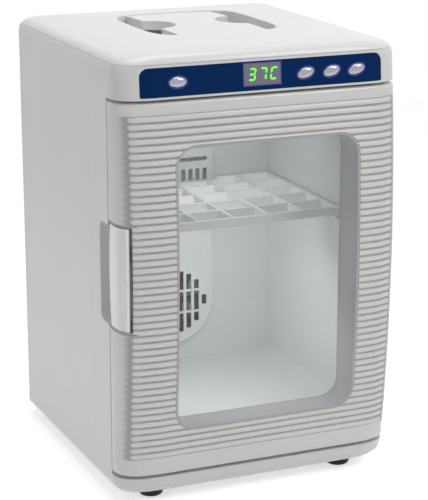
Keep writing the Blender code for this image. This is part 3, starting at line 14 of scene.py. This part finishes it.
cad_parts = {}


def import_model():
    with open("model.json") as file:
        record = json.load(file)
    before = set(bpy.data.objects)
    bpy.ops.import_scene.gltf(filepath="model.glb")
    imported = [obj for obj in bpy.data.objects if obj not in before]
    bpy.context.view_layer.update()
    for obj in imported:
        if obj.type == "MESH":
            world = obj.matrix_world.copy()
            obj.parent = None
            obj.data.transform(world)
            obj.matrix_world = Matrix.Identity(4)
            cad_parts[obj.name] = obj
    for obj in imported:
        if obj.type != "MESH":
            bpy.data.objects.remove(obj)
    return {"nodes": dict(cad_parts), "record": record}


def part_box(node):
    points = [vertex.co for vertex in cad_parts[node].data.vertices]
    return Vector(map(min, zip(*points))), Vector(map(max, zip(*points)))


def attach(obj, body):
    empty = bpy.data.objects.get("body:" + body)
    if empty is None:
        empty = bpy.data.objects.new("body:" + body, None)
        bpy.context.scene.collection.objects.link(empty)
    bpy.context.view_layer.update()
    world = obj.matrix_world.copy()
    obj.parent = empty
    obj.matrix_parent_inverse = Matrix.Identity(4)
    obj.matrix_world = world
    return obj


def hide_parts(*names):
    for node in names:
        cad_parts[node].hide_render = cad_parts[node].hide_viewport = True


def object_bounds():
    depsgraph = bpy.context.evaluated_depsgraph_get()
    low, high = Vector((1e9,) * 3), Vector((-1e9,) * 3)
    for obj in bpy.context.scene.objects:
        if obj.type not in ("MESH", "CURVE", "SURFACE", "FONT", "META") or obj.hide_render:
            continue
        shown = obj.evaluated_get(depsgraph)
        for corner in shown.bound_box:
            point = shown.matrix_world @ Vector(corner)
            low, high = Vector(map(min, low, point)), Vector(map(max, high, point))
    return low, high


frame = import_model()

CAD_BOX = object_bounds()
NODES = frame["nodes"]

# Camera, fitted to the photograph; the sensor's size spans the picture's height
CAMERA_PLACE = Vector((-0.7388, -1.7660, 0.7566))
CAMERA_AZIMUTH = math.radians(23.08)
CAMERA_DOWN = math.radians(15.57)
FOCAL_PIXELS = 1796.0
PICTURE_HEIGHT = 500.0
SENSOR = 36.0

# Studio lamps: place, width and power
LAMP_AIM = (0.0, 0.0, 0.25)
LAMPS = {
    "key": ((0.9, -1.3, 1.5), 0.9, 10.0),
    "fill": ((-1.7, -0.9, 0.9), 1.4, 2.5),
    "top": ((0.0, 0.1, 1.9), 1.2, 10.5),
}

# Lamps in the chamber, above and below the shelf: place and power
CHAMBER_LAMPS = {
    "upper_lamp": ((0.0, -0.04, 0.380), 0.075),
    "lower_lamp": ((0.0, -0.09, 0.228), 0.120),
}
CHAMBER_LAMP_WIDTH = 0.10
CHAMBER_LAMP_TURN = (0.0, 0.08, -0.11)

# World and floor
WHITE = (1, 1, 1, 1)
WORLD_STRENGTH = 0.30
FLOOR_LIFT = 0.56
FLOOR_HALF = 1.7

# Thin trim laid on the panel and the display
LIFT = 0.00012
CLEAR_FRONT_Y = -0.3
BORDER_WIDTH = 0.0009
BORDER_STEPS = 6
RING_WIDTH = 0.0013
RING_GAP = 0.0004
OVAL_POINTS = 40
KEY_HALF_WIDTH = 0.00925
KEY_HALF_HEIGHT = 0.0054
KEY_TILT = math.radians(14)
KEYS = {"button_power": 0.0, "button_set": KEY_TILT, "button_up": KEY_TILT, "button_down": KEY_TILT}

# Grooves between the door's ribs. A reach of 0 is a rib's crest and 1 is the middle of the groove.
RIB_START = 0.019
RIB_PITCH = 0.0072
RIB_COUNT = 50
RIB_TIP_LEFT = -0.1458
RIB_TIP_RIGHT = 0.1475
RIB_END = 0.0046
CREST_REACH = 0.45
GROOVE_REACH = 1.0
FADE_REACH = 1.1
GROUND_REACH = 2.6
# Painted shade in the grooves: their colour is mixed towards this dark grey by this share
GROOVE_PAINTED_SHADE = 0.52
GROOVE_SHADE_COLOR = (0.10, 0.10, 0.11)
GROOVE_DEPTH = 0.0009
GROOVE_BUMP = 0.7

# Shelf
SHELF_COLUMNS = 6
SHELF_ROWS = 5
SHELF_RIM = 0.005
SHELF_BAR = 0.003
SHELF_BEVEL = 0.0005
NOTCH_HALF = 0.051
NOTCH_DEPTH = 0.013

# Skin beside the pull handle
TRIM_LEFT = -0.1431
TRIM_RIGHT = -0.1386
TRIM_SHEET = 0.0020
TRIM_OVERLAP = 0.0022
TRIM_ABOVE = 0.0050
TRIM_BESIDE = 0.0012
TRIM_ROWS = 24
TRIM_COLUMNS = 4

# Seven-segment digits
DIGIT_HEIGHT = 0.0125
DIGIT_WIDTH = 0.0078
DIGIT_STROKE = 0.0016
DIGIT_SLANT = 0.16
DIGIT_STEP = 0.0120
DIGIT_GLOW = 1.25
SEGMENT_GAP = 0.00025
SEGMENTS = {"3": "abgcd", "7": "abc", "C": "adef"}
DISPLAY_TEXT = "37C"

# Settings that all finishes share. Noise scales are per metre.
BROAD_SCALE = 14.0
FINE_SCALE = 120.0
NOISE_DETAIL = 3.0
NOISE_LOW = 0.3
NOISE_HIGH = 0.7
ROUGHNESS_CHANGE = 0.1
GRAIN_DEPTH = 0.0002
GRAIN_DETAIL = 2.0
COAT_ROUGHNESS = 0.15

# Sockets of a Mix node that mixes colours, whose names its other kinds share
MIX_FACTOR, MIX_FIRST, MIX_SECOND, MIX_RESULT = 0, 6, 7, 2

# Smoothing of the CAD nodes
WELD_DISTANCE = 0.00001
SHARP_ANGLE = math.radians(32)

# Finishes for each material slot of the record
FINISHES = {
    "white_plastic": {"color": (0.80, 0.80, 0.79), "roughness": 0.34, "coat": 0.25, "grain": 0.05},
    "liner_plastic": {"color": (0.82, 0.84, 0.84), "roughness": 0.48, "grain": 0.04, "grain_scale": 700},
    "grey_plastic": {"color": (0.33, 0.33, 0.33), "roughness": 0.45, "grain": 0.06},
    "panel_blue": {"color": (0.0, 0.024, 0.112), "roughness": 0.38, "gloss": 0.07, "grain": 0.01,
                   "grain_scale": 1200},
    "black_rubber": {"color": (0.02, 0.02, 0.02), "roughness": 0.80, "grain": 0.20, "grain_scale": 500},
    "black_plastic": {"color": (0.03, 0.03, 0.03), "roughness": 0.50, "grain": 0.08},
    "chrome": {"color": (0.36, 0.37, 0.42), "roughness": 0.14, "metallic": 1.0, "grain": 0.01},
    "steel": {"color": (0.55, 0.55, 0.56), "roughness": 0.35, "metallic": 1.0, "grain": 0.05,
              "grain_scale": 1500},
    "aluminium": {"color": (0.72, 0.72, 0.73), "roughness": 0.32, "metallic": 1.0, "grain": 0.05,
                  "grain_scale": 1200},
    "foam": {"color": (0.80, 0.70, 0.42), "roughness": 0.90, "grain": 0.50, "grain_scale": 400},
    "clear_pane": {"color": (0.55, 0.60, 0.60), "roughness": 0.05, "alpha": 0.045},
    "display_lens": {"color": (0.23, 0.22, 0.28), "roughness": 0.20, "gloss": 0.3},
    "circuit_board": {"color": (0.05, 0.22, 0.08), "roughness": 0.40, "coat": 0.2, "grain": 0.06,
                      "grain_scale": 800},
    "ceramic": {"color": (0.85, 0.85, 0.80), "roughness": 0.60, "grain": 0.05},
}

# Finishes of single nodes that differ from the rest of their slot
NODE_FINISHES = {
    "latch_handle": {"color": (0.93, 0.93, 0.94), "roughness": 0.18, "coat": 0.8, "grain": 0.02},
    "handle_bezel": {"color": (0.50, 0.50, 0.50), "roughness": 0.40, "grain": 0.05},
    "window_frame": {"color": (0.50, 0.50, 0.51), "roughness": 0.40, "grain": 0.05},
    # carry_tray: lighter than the white plastic, painted light that brightens its shaded recess
    "carry_tray": {"color": (0.88, 0.88, 0.87), "roughness": 0.40, "grain": 0.05},
}

# Finishes of the pieces made here
RING_FINISH = {"color": (0.10, 0.10, 0.52), "roughness": 0.4, "gloss": 0.1}
SHELF_FINISH = {"color": (0.94, 0.95, 0.95), "roughness": 0.4, "grain": 0.04, "grain_scale": 700}
DIGIT_FINISH = {"color": (0.12, 0.95, 0.04), "roughness": 0.4}
FLOOR_FINISH = {"color": (0.93, 0.93, 0.93), "roughness": 0.7, "change": 0.003}


# Materials

def calc(tree, operation, *values):
    """Output of a math node on numbers and other nodes' outputs."""
    made = tree.nodes.new("ShaderNodeMath")
    made.operation = operation
    for socket, value in zip(made.inputs, values):
        if isinstance(value, (int, float)):
            socket.default_value = value
        else:
            tree.links.new(value, socket)
    return made.outputs["Value"]


def ramp_share(tree, value, low, high):
    """Share from 0 at low to 1 at high, eased at both ends."""
    made = tree.nodes.new("ShaderNodeMapRange")
    made.interpolation_type = "SMOOTHSTEP"
    made.inputs["From Min"].default_value = low
    made.inputs["From Max"].default_value = high
    tree.links.new(value, made.inputs["Value"])
    return made.outputs["Result"]


def noise(tree, coordinates, scale, detail=NOISE_DETAIL):
    """Noise of one scale over the surface."""
    made = tree.nodes.new("ShaderNodeTexNoise")
    made.inputs["Scale"].default_value = scale
    made.inputs["Detail"].default_value = detail
    tree.links.new(coordinates, made.inputs["Vector"])
    return made.outputs["Fac"]


def spread(tree, factor, low, high):
    """Map a noise factor to a range of values."""
    made = tree.nodes.new("ShaderNodeMapRange")
    made.inputs["From Min"].default_value = NOISE_LOW
    made.inputs["From Max"].default_value = NOISE_HIGH
    made.inputs["To Min"].default_value = low
    made.inputs["To Max"].default_value = high
    tree.links.new(factor, made.inputs["Value"])
    return made.outputs["Result"]


def tint(tree, factor, color, change):
    """Vary a colour a little, darker and lighter, over the surface."""
    ramp = tree.nodes.new("ShaderNodeValToRGB")
    ramp.color_ramp.elements[0].color = (*[c * (1 - change) for c in color], 1)
    ramp.color_ramp.elements[1].color = (*[min(1.0, c * (1 + change)) for c in color], 1)
    tree.links.new(factor, ramp.inputs["Fac"])
    return ramp.outputs["Color"]


def finish(name, color, roughness, metallic=0.0, coat=0.0, grain=0.0, grain_scale=900, alpha=1.0,
           gloss=0.5, change=0.025):
    """A moulded or metal surface: colour and roughness vary a little, and a grain stands on it."""
    made = bpy.data.materials.new(name)
    made.use_nodes = True
    tree = made.node_tree
    shader = tree.nodes["Principled BSDF"]
    shader.inputs["Metallic"].default_value = metallic
    shader.inputs["Coat Weight"].default_value = coat
    shader.inputs["Coat Roughness"].default_value = COAT_ROUGHNESS
    shader.inputs["Alpha"].default_value = alpha
    shader.inputs["Specular IOR Level"].default_value = gloss
    where = tree.nodes.new("ShaderNodeTexCoord").outputs["Object"]
    broad = noise(tree, where, BROAD_SCALE)
    tree.links.new(tint(tree, broad, color, change), shader.inputs["Base Color"])
    fine = noise(tree, where, FINE_SCALE)
    smoothest, roughest = roughness * (1 - ROUGHNESS_CHANGE), roughness * (1 + ROUGHNESS_CHANGE)
    tree.links.new(spread(tree, fine, smoothest, roughest), shader.inputs["Roughness"])
    if grain:
        bump = tree.nodes.new("ShaderNodeBump")
        bump.inputs["Strength"].default_value = grain
        bump.inputs["Distance"].default_value = GRAIN_DEPTH
        tree.links.new(noise(tree, where, grain_scale, GRAIN_DETAIL), bump.inputs["Height"])
        tree.links.new(bump.outputs["Normal"], shader.inputs["Normal"])
    return made


def groove_share(tree, where):
    """0 on the crest of a rib and 1 in the groove round it, also round its bullet-shaped ends; it masks
    both the painted shade and the sunken bump.
    """
    axes = tree.nodes.new("ShaderNodeSeparateXYZ")
    tree.links.new(where, axes.inputs["Vector"])
    x, z = axes.outputs["X"], axes.outputs["Z"]
    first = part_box("door_cover")[0].z + RIB_START
    run = calc(tree, "DIVIDE", calc(tree, "SUBTRACT", z, first), RIB_PITCH)
    across = calc(tree, "MULTIPLY_ADD", calc(tree, "FRACT", run), 2.0, -1.0)
    left = calc(tree, "DIVIDE", calc(tree, "SUBTRACT", RIB_TIP_LEFT + RIB_END, x), RIB_END)
    right = calc(tree, "DIVIDE", calc(tree, "SUBTRACT", x, RIB_TIP_RIGHT - RIB_END), RIB_END)
    end = calc(tree, "MAXIMUM", calc(tree, "MAXIMUM", left, right), 0.0)
    across_squared = calc(tree, "POWER", calc(tree, "ABSOLUTE", across), 2.0)
    reach = calc(tree, "SQRT", calc(tree, "ADD", across_squared, calc(tree, "POWER", end, 2.0)))
    groove = ramp_share(tree, reach, CREST_REACH, GROOVE_REACH)
    ground = ramp_share(tree, reach, GROUND_REACH, FADE_REACH)
    above_first = calc(tree, "GREATER_THAN", run, 0.0)
    below_last = calc(tree, "LESS_THAN", run, float(RIB_COUNT))
    rows = calc(tree, "MULTIPLY", above_first, below_last)
    return calc(tree, "MULTIPLY", calc(tree, "MULTIPLY", groove, ground), rows)


def ribbed_finish():
    """The white plastic, with sunken grooves between the ribs, darkened by painted shade."""
    made = finish("ribbed_plastic", **FINISHES["white_plastic"])
    tree = made.node_tree
    shader = tree.nodes["Principled BSDF"]
    where = tree.nodes.new("ShaderNodeTexCoord").outputs["Object"]
    groove = groove_share(tree, where)
    # Painted shade: the colour is multiplied towards a dark grey in the grooves
    plain = shader.inputs["Base Color"].links[0].from_socket
    shade = tree.nodes.new("ShaderNodeMix")
    shade.data_type = "RGBA"
    shade.blend_type = "MULTIPLY"
    tree.links.new(calc(tree, "MULTIPLY", groove, GROOVE_PAINTED_SHADE), shade.inputs[MIX_FACTOR])
    tree.links.new(plain, shade.inputs[MIX_FIRST])
    shade.inputs[MIX_SECOND].default_value = (*GROOVE_SHADE_COLOR, 1)
    tree.links.new(shade.outputs[MIX_RESULT], shader.inputs["Base Color"])
    grain = shader.inputs["Normal"].links[0].from_socket
    sunk = tree.nodes.new("ShaderNodeBump")
    sunk.invert = True
    sunk.inputs["Strength"].default_value = GROOVE_BUMP
    sunk.inputs["Distance"].default_value = GROOVE_DEPTH
    tree.links.new(groove, sunk.inputs["Height"])
    tree.links.new(grain, sunk.inputs["Normal"])
    tree.links.new(sunk.outputs["Normal"], shader.inputs["Normal"])
    return made


def digit_finish():
    """The green of the display's digits, which gives light of its own."""
    made = finish("digits", **DIGIT_FINISH)
    shader = made.node_tree.nodes["Principled BSDF"]
    shader.inputs["Emission Color"].default_value = (*DIGIT_FINISH["color"], 1)
    shader.inputs["Emission Strength"].default_value = DIGIT_GLOW
    return made


def dress_nodes(ribbed):
    """Give every CAD node the finish of its slot, and smooth its rounded faces."""
    finishes = {slot: finish(slot, **values) for slot, values in FINISHES.items()}
    own = {node: finish(f"{node}_plastic", **values) for node, values in NODE_FINISHES.items()}
    own["door_cover"] = ribbed
    for entry in frame["record"]["subparts"]:
        node = NODES[entry["node"]]
        node.data.materials.clear()
        node.data.materials.append(own.get(entry["node"]) or finishes[entry["material_slot"]])
        node.data.polygons.foreach_set("use_smooth", [True] * len(node.data.polygons))
        weld = node.modifiers.new("weld", "WELD")
        weld.merge_threshold = WELD_DISTANCE
        split = node.modifiers.new("split", "EDGE_SPLIT")
        split.split_angle = SHARP_ANGLE


# Pieces

def surface_of(node):
    """The faces of a CAD node, for laying trim on them."""
    mesh = NODES[node].data
    points = [v.co.copy() for v in mesh.vertices]
    faces = [list(p.vertices) for p in mesh.polygons]
    return BVHTree.FromPolygons(points, faces)


def laid(surface, x, z):
    """The point of a front face at x and z, lifted off it a little; over a hole, its nearest edge."""
    hit = surface.ray_cast(Vector((x, CLEAR_FRONT_Y, z)), Vector((0, 1, 0)))[0]
    if hit is None:
        hit = surface.find_nearest(Vector((x, CAD_BOX[0].y, z)))[0]
    return Vector((x, hit.y - LIFT, z))


def new_piece(name, bm, material, body):
    """Make an object of a mesh, and let it ride on a body with the finish of a slot."""
    bmesh.ops.recalc_face_normals(bm, faces=bm.faces)
    mesh = bpy.data.meshes.new(name)
    bm.to_mesh(mesh)
    bm.free()
    mesh.materials.append(material)
    made = bpy.data.objects.new(name, mesh)
    bpy.context.scene.collection.objects.link(made)
    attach(made, body)
    return made


def panel_ring(name, outer, inner, material):
    """A flat ring between two outlines of (x, z) points, laid on the control panel."""
    surface = surface_of("control_panel")
    bm = bmesh.new()
    far = [bm.verts.new(laid(surface, *point)) for point in outer]
    near = [bm.verts.new(laid(surface, *point)) for point in inner]
    count = len(far)
    for i in range(count):
        j = (i + 1) % count
        bm.faces.new((far[i], far[j], near[j], near[i]))
    new_piece(name, bm, material, "cabinet")


def oval(x, z, half_width, half_height, tilt):
    """Points round a tilted oval."""
    points = []
    for i in range(OVAL_POINTS):
        turn = math.tau * i / OVAL_POINTS
        along, up = half_width * math.cos(turn), half_height * math.sin(turn)
        points.append((x + along * math.cos(tilt) - up * math.sin(tilt),
                       z + along * math.sin(tilt) + up * math.cos(tilt)))
    return points


def key_rings(material):
    """A coloured ring round each key."""
    for node, tilt in KEYS.items():
        low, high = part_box(node)
        x, z = (low.x + high.x) / 2, (low.z + high.z) / 2
        outer = oval(x, z, KEY_HALF_WIDTH + RING_WIDTH, KEY_HALF_HEIGHT + RING_WIDTH, tilt)
        inner = oval(x, z, KEY_HALF_WIDTH + RING_GAP, KEY_HALF_HEIGHT + RING_GAP, tilt)
        panel_ring(f"{node}_ring", outer, inner, material)


def rectangle(low, high, grow):
    """Points round a front rectangle from low to high, grown by a margin."""
    left, right, bottom, top = low.x - grow, high.x + grow, low.z - grow, high.z + grow
    corners = [(left, bottom), (right, bottom), (right, top), (left, top)]
    points = []
    for (x, z), (next_x, next_z) in zip(corners, corners[1:] + corners[:1]):
        points += [(x + (next_x - x) * k / BORDER_STEPS, z + (next_z - z) * k / BORDER_STEPS)
                   for k in range(BORDER_STEPS)]
    return points


def display_border(material):
    """Thin coloured line round the display."""
    low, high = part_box("display_window")
    outer, inner = rectangle(low, high, BORDER_WIDTH), rectangle(low, high, 0.0)
    panel_ring("display_border", outer, inner, material)


def cell_spans(start, end, count):
    """Low and high ends of a row of cells between two rims."""
    step = (end - start - 2 * SHELF_RIM + SHELF_BAR) / count
    first = start + SHELF_RIM
    return [(first + k * step, first + (k + 1) * step - SHELF_BAR) for k in range(count)]


def in_shelf(x, y, across, deep, notch_y):
    """Whether the shelf is solid at x and y: in its rims and bars, but not in its cells or notch."""
    if abs(x) < NOTCH_HALF and y > notch_y:
        return False
    if abs(x) < NOTCH_HALF + SHELF_RIM and y > notch_y - SHELF_RIM:
        return True
    in_column = any(start < x < end for start, end in across)
    in_row = any(start < y < end for start, end in deep)
    return not (in_column and in_row)


def shelf_grid(material):
    """Shelf of open cells, with a notch at the back for the air duct."""
    low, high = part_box("shelf")
    across = cell_spans(low.x, high.x, SHELF_COLUMNS)
    deep = cell_spans(low.y, high.y, SHELF_ROWS)
    bar = NOTCH_HALF + SHELF_RIM
    notch_y = high.y - NOTCH_DEPTH
    xs = sorted([low.x, high.x, -bar, -NOTCH_HALF, NOTCH_HALF, bar] + [x for span in across for x in span])
    ys = sorted([low.y, high.y, notch_y, notch_y - SHELF_RIM] + [y for span in deep for y in span])
    bm = bmesh.new()
    corners = {(i, j): bm.verts.new((x, y, high.z)) for i, x in enumerate(xs) for j, y in enumerate(ys)}
    for i in range(len(xs) - 1):
        for j in range(len(ys) - 1):
            if in_shelf((xs[i] + xs[i + 1]) / 2, (ys[j] + ys[j + 1]) / 2, across, deep, notch_y):
                bm.faces.new((corners[i, j], corners[i + 1, j], corners[i + 1, j + 1], corners[i, j + 1]))
    bmesh.ops.delete(bm, geom=[v for v in bm.verts if not v.link_faces], context="VERTS")
    grown = bmesh.ops.extrude_face_region(bm, geom=bm.faces[:])
    for item in grown["geom"]:
        if isinstance(item, bmesh.types.BMVert):
            item.co.z = low.z
    made = new_piece("shelf_grid", bm, material, "shelf_tray")
    edges = made.modifiers.new("edges", "BEVEL")
    edges.width = SHELF_BEVEL
    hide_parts("shelf")


def handle_trim(material):
    """The door's skin where it reaches over the pull handle's pocket, clear of the handle's swing."""
    surface = surface_of("door_cover")
    low, high = (corner.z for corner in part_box("latch_handle"))
    above = high + TRIM_ABOVE
    beside = TRIM_RIGHT + TRIM_BESIDE
    bm = bmesh.new()
    fronts, backs = [], []
    for i in range(TRIM_ROWS + 1):
        z = low - TRIM_OVERLAP + (high - low + 2 * TRIM_OVERLAP) * i / TRIM_ROWS
        shift = laid(surface, beside, z).y - laid(surface, beside, above).y
        row = []
        for k in range(TRIM_COLUMNS + 1):
            x = TRIM_LEFT + (TRIM_RIGHT - TRIM_LEFT) * k / TRIM_COLUMNS
            row.append(Vector((x, laid(surface, x, above).y + shift, z)))
        fronts.append([bm.verts.new(point) for point in row])
        backs.append([bm.verts.new(point + Vector((0, TRIM_SHEET, 0))) for point in row])
    for i in range(TRIM_ROWS):
        for k in range(TRIM_COLUMNS):
            bm.faces.new((fronts[i][k], fronts[i][k + 1], fronts[i + 1][k + 1], fronts[i + 1][k]))
            bm.faces.new((backs[i][k], backs[i + 1][k], backs[i + 1][k + 1], backs[i][k + 1]))
        bm.faces.new((fronts[i][0], fronts[i + 1][0], backs[i + 1][0], backs[i][0]))
    new_piece("handle_trim", bm, material, "door")


def segment_outline(letter):
    """Corners of one segment in a digit's own frame, its lower left corner at zero."""
    half, middle = DIGIT_STROKE / 2, DIGIT_HEIGHT / 2
    left, right = half, DIGIT_WIDTH - half
    levels = {"a": DIGIT_HEIGHT - half, "g": middle, "d": half}
    uprights = {"b": (right, middle, DIGIT_HEIGHT), "c": (right, 0, middle),
                "f": (left, middle, DIGIT_HEIGHT), "e": (left, 0, middle)}
    if letter in levels:
        z = levels[letter]
        start, end = left + SEGMENT_GAP, right - SEGMENT_GAP
        return [(start, z), (start + half, z - half), (end - half, z - half),
                (end, z), (end - half, z + half), (start + half, z + half)]
    x, bottom, top = uprights[letter]
    start, end = bottom + half / 2 + SEGMENT_GAP, top - half / 2 - SEGMENT_GAP
    return [(x, start), (x + half, start + half), (x + half, end - half),
            (x, end), (x - half, end - half), (x - half, start + half)]


def display_digits(material):
    """The digits of the display, in slanted segments."""
    surface = surface_of("display_window")
    low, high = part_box("display_window")
    width = DIGIT_STEP * (len(DISPLAY_TEXT) - 1) + DIGIT_WIDTH
    left = (low.x + high.x) / 2 - width / 2
    bottom = (low.z + high.z) / 2 - DIGIT_HEIGHT / 2
    for place, sign in enumerate(DISPLAY_TEXT):
        start = left + place * DIGIT_STEP
        bm = bmesh.new()
        for letter in SEGMENTS[sign]:
            corners = [laid(surface, start + x + z * DIGIT_SLANT, bottom + z)
                       for x, z in segment_outline(letter)]
            bm.faces.new([bm.verts.new(corner) for corner in corners])
        new_piece(f"display_digit_{place + 1}", bm, material, "cabinet")


# Light, floor and camera

def area_light(name, place, aim, width, power):
    """A round soft lamp that the camera doesn't see."""
    data = bpy.data.lights.new(name, "AREA")
    data.shape = "DISK"
    data.size = width
    data.energy = power
    made = bpy.data.objects.new(name, data)
    made.location = place
    made.rotation_euler = (Vector(aim) - Vector(place)).to_track_quat("-Z", "Y").to_euler()
    made.visible_camera = False
    bpy.context.scene.collection.objects.link(made)


def lights():
    """The studio's lamps and the small ones in the chamber."""
    for name, (place, width, power) in LAMPS.items():
        area_light(name, place, LAMP_AIM, width, power)
    for name, (place, power) in CHAMBER_LAMPS.items():
        aim = [start + turn for start, turn in zip(place, CHAMBER_LAMP_TURN)]
        area_light(name, place, aim, CHAMBER_LAMP_WIDTH, power)


def seen_directly(tree):
    """Light Path factor that is 1 for camera, glossy and transmission rays."""
    path = tree.nodes.new("ShaderNodeLightPath")
    seen = calc(tree, "MAXIMUM", path.outputs["Is Camera Ray"], path.outputs["Is Glossy Ray"])
    return calc(tree, "MAXIMUM", seen, path.outputs["Is Transmission Ray"])


def world():
    """Even pale light from all sides, white where it is seen."""
    made = bpy.data.worlds.new("studio")
    bpy.context.scene.world = made
    made.use_nodes = True
    tree = made.node_tree
    plain = tree.nodes["Background"]
    plain.inputs["Color"].default_value = WHITE
    plain.inputs["Strength"].default_value = WORLD_STRENGTH
    seen = tree.nodes.new("ShaderNodeBackground")
    seen.inputs["Color"].default_value = WHITE
    mixed = tree.nodes.new("ShaderNodeMixShader")
    tree.links.new(seen_directly(tree), mixed.inputs[0])
    tree.links.new(plain.outputs[0], mixed.inputs[1])
    tree.links.new(seen.outputs[0], mixed.inputs[2])
    tree.links.new(mixed.outputs[0], tree.nodes["World Output"].inputs["Surface"])


def floor_finish():
    """Pale floor, lifted to white where it is seen, so that only the shadow shows."""
    made = finish("floor", **FLOOR_FINISH)
    tree = made.node_tree
    shader = tree.nodes["Principled BSDF"]
    lift = tree.nodes.new("ShaderNodeEmission")
    lift.inputs["Strength"].default_value = FLOOR_LIFT
    dark = tree.nodes.new("ShaderNodeEmission")
    dark.inputs["Strength"].default_value = 0.0
    chosen = tree.nodes.new("ShaderNodeMixShader")
    tree.links.new(seen_directly(tree), chosen.inputs[0])
    tree.links.new(dark.outputs[0], chosen.inputs[1])
    tree.links.new(lift.outputs[0], chosen.inputs[2])
    both = tree.nodes.new("ShaderNodeAddShader")
    tree.links.new(shader.outputs[0], both.inputs[0])
    tree.links.new(chosen.outputs[0], both.inputs[1])
    tree.links.new(both.outputs[0], tree.nodes["Material Output"].inputs["Surface"])
    return made


def floor():
    """The pale floor under the object."""
    bm = bmesh.new()
    bmesh.ops.create_grid(bm, x_segments=2, y_segments=2, size=FLOOR_HALF)
    mesh = bpy.data.meshes.new("floor")
    bm.to_mesh(mesh)
    bm.free()
    mesh.materials.append(floor_finish())
    made = bpy.data.objects.new("floor", mesh)
    bpy.context.scene.collection.objects.link(made)


def camera():
    """The camera where the photograph was taken."""
    data = bpy.data.cameras.new("camera")
    data.sensor_width = SENSOR
    data.lens = FOCAL_PIXELS / PICTURE_HEIGHT * SENSOR
    made = bpy.data.objects.new("camera", data)
    made.location = CAMERA_PLACE
    made.rotation_euler = (math.pi / 2 - CAMERA_DOWN, 0, -CAMERA_AZIMUTH)
    bpy.context.scene.collection.objects.link(made)
    bpy.context.scene.camera = made


ribbed_plastic = ribbed_finish()
dress_nodes(ribbed_plastic)
ring_plastic = finish("key_ring", **RING_FINISH)
key_rings(ring_plastic)
display_border(ring_plastic)
shelf_grid(finish("shelf_plastic", **SHELF_FINISH))
handle_trim(ribbed_plastic)
display_digits(digit_finish())
lights()
world()
floor()
camera()
bpy.context.scene.view_settings.view_transform = "Standard"
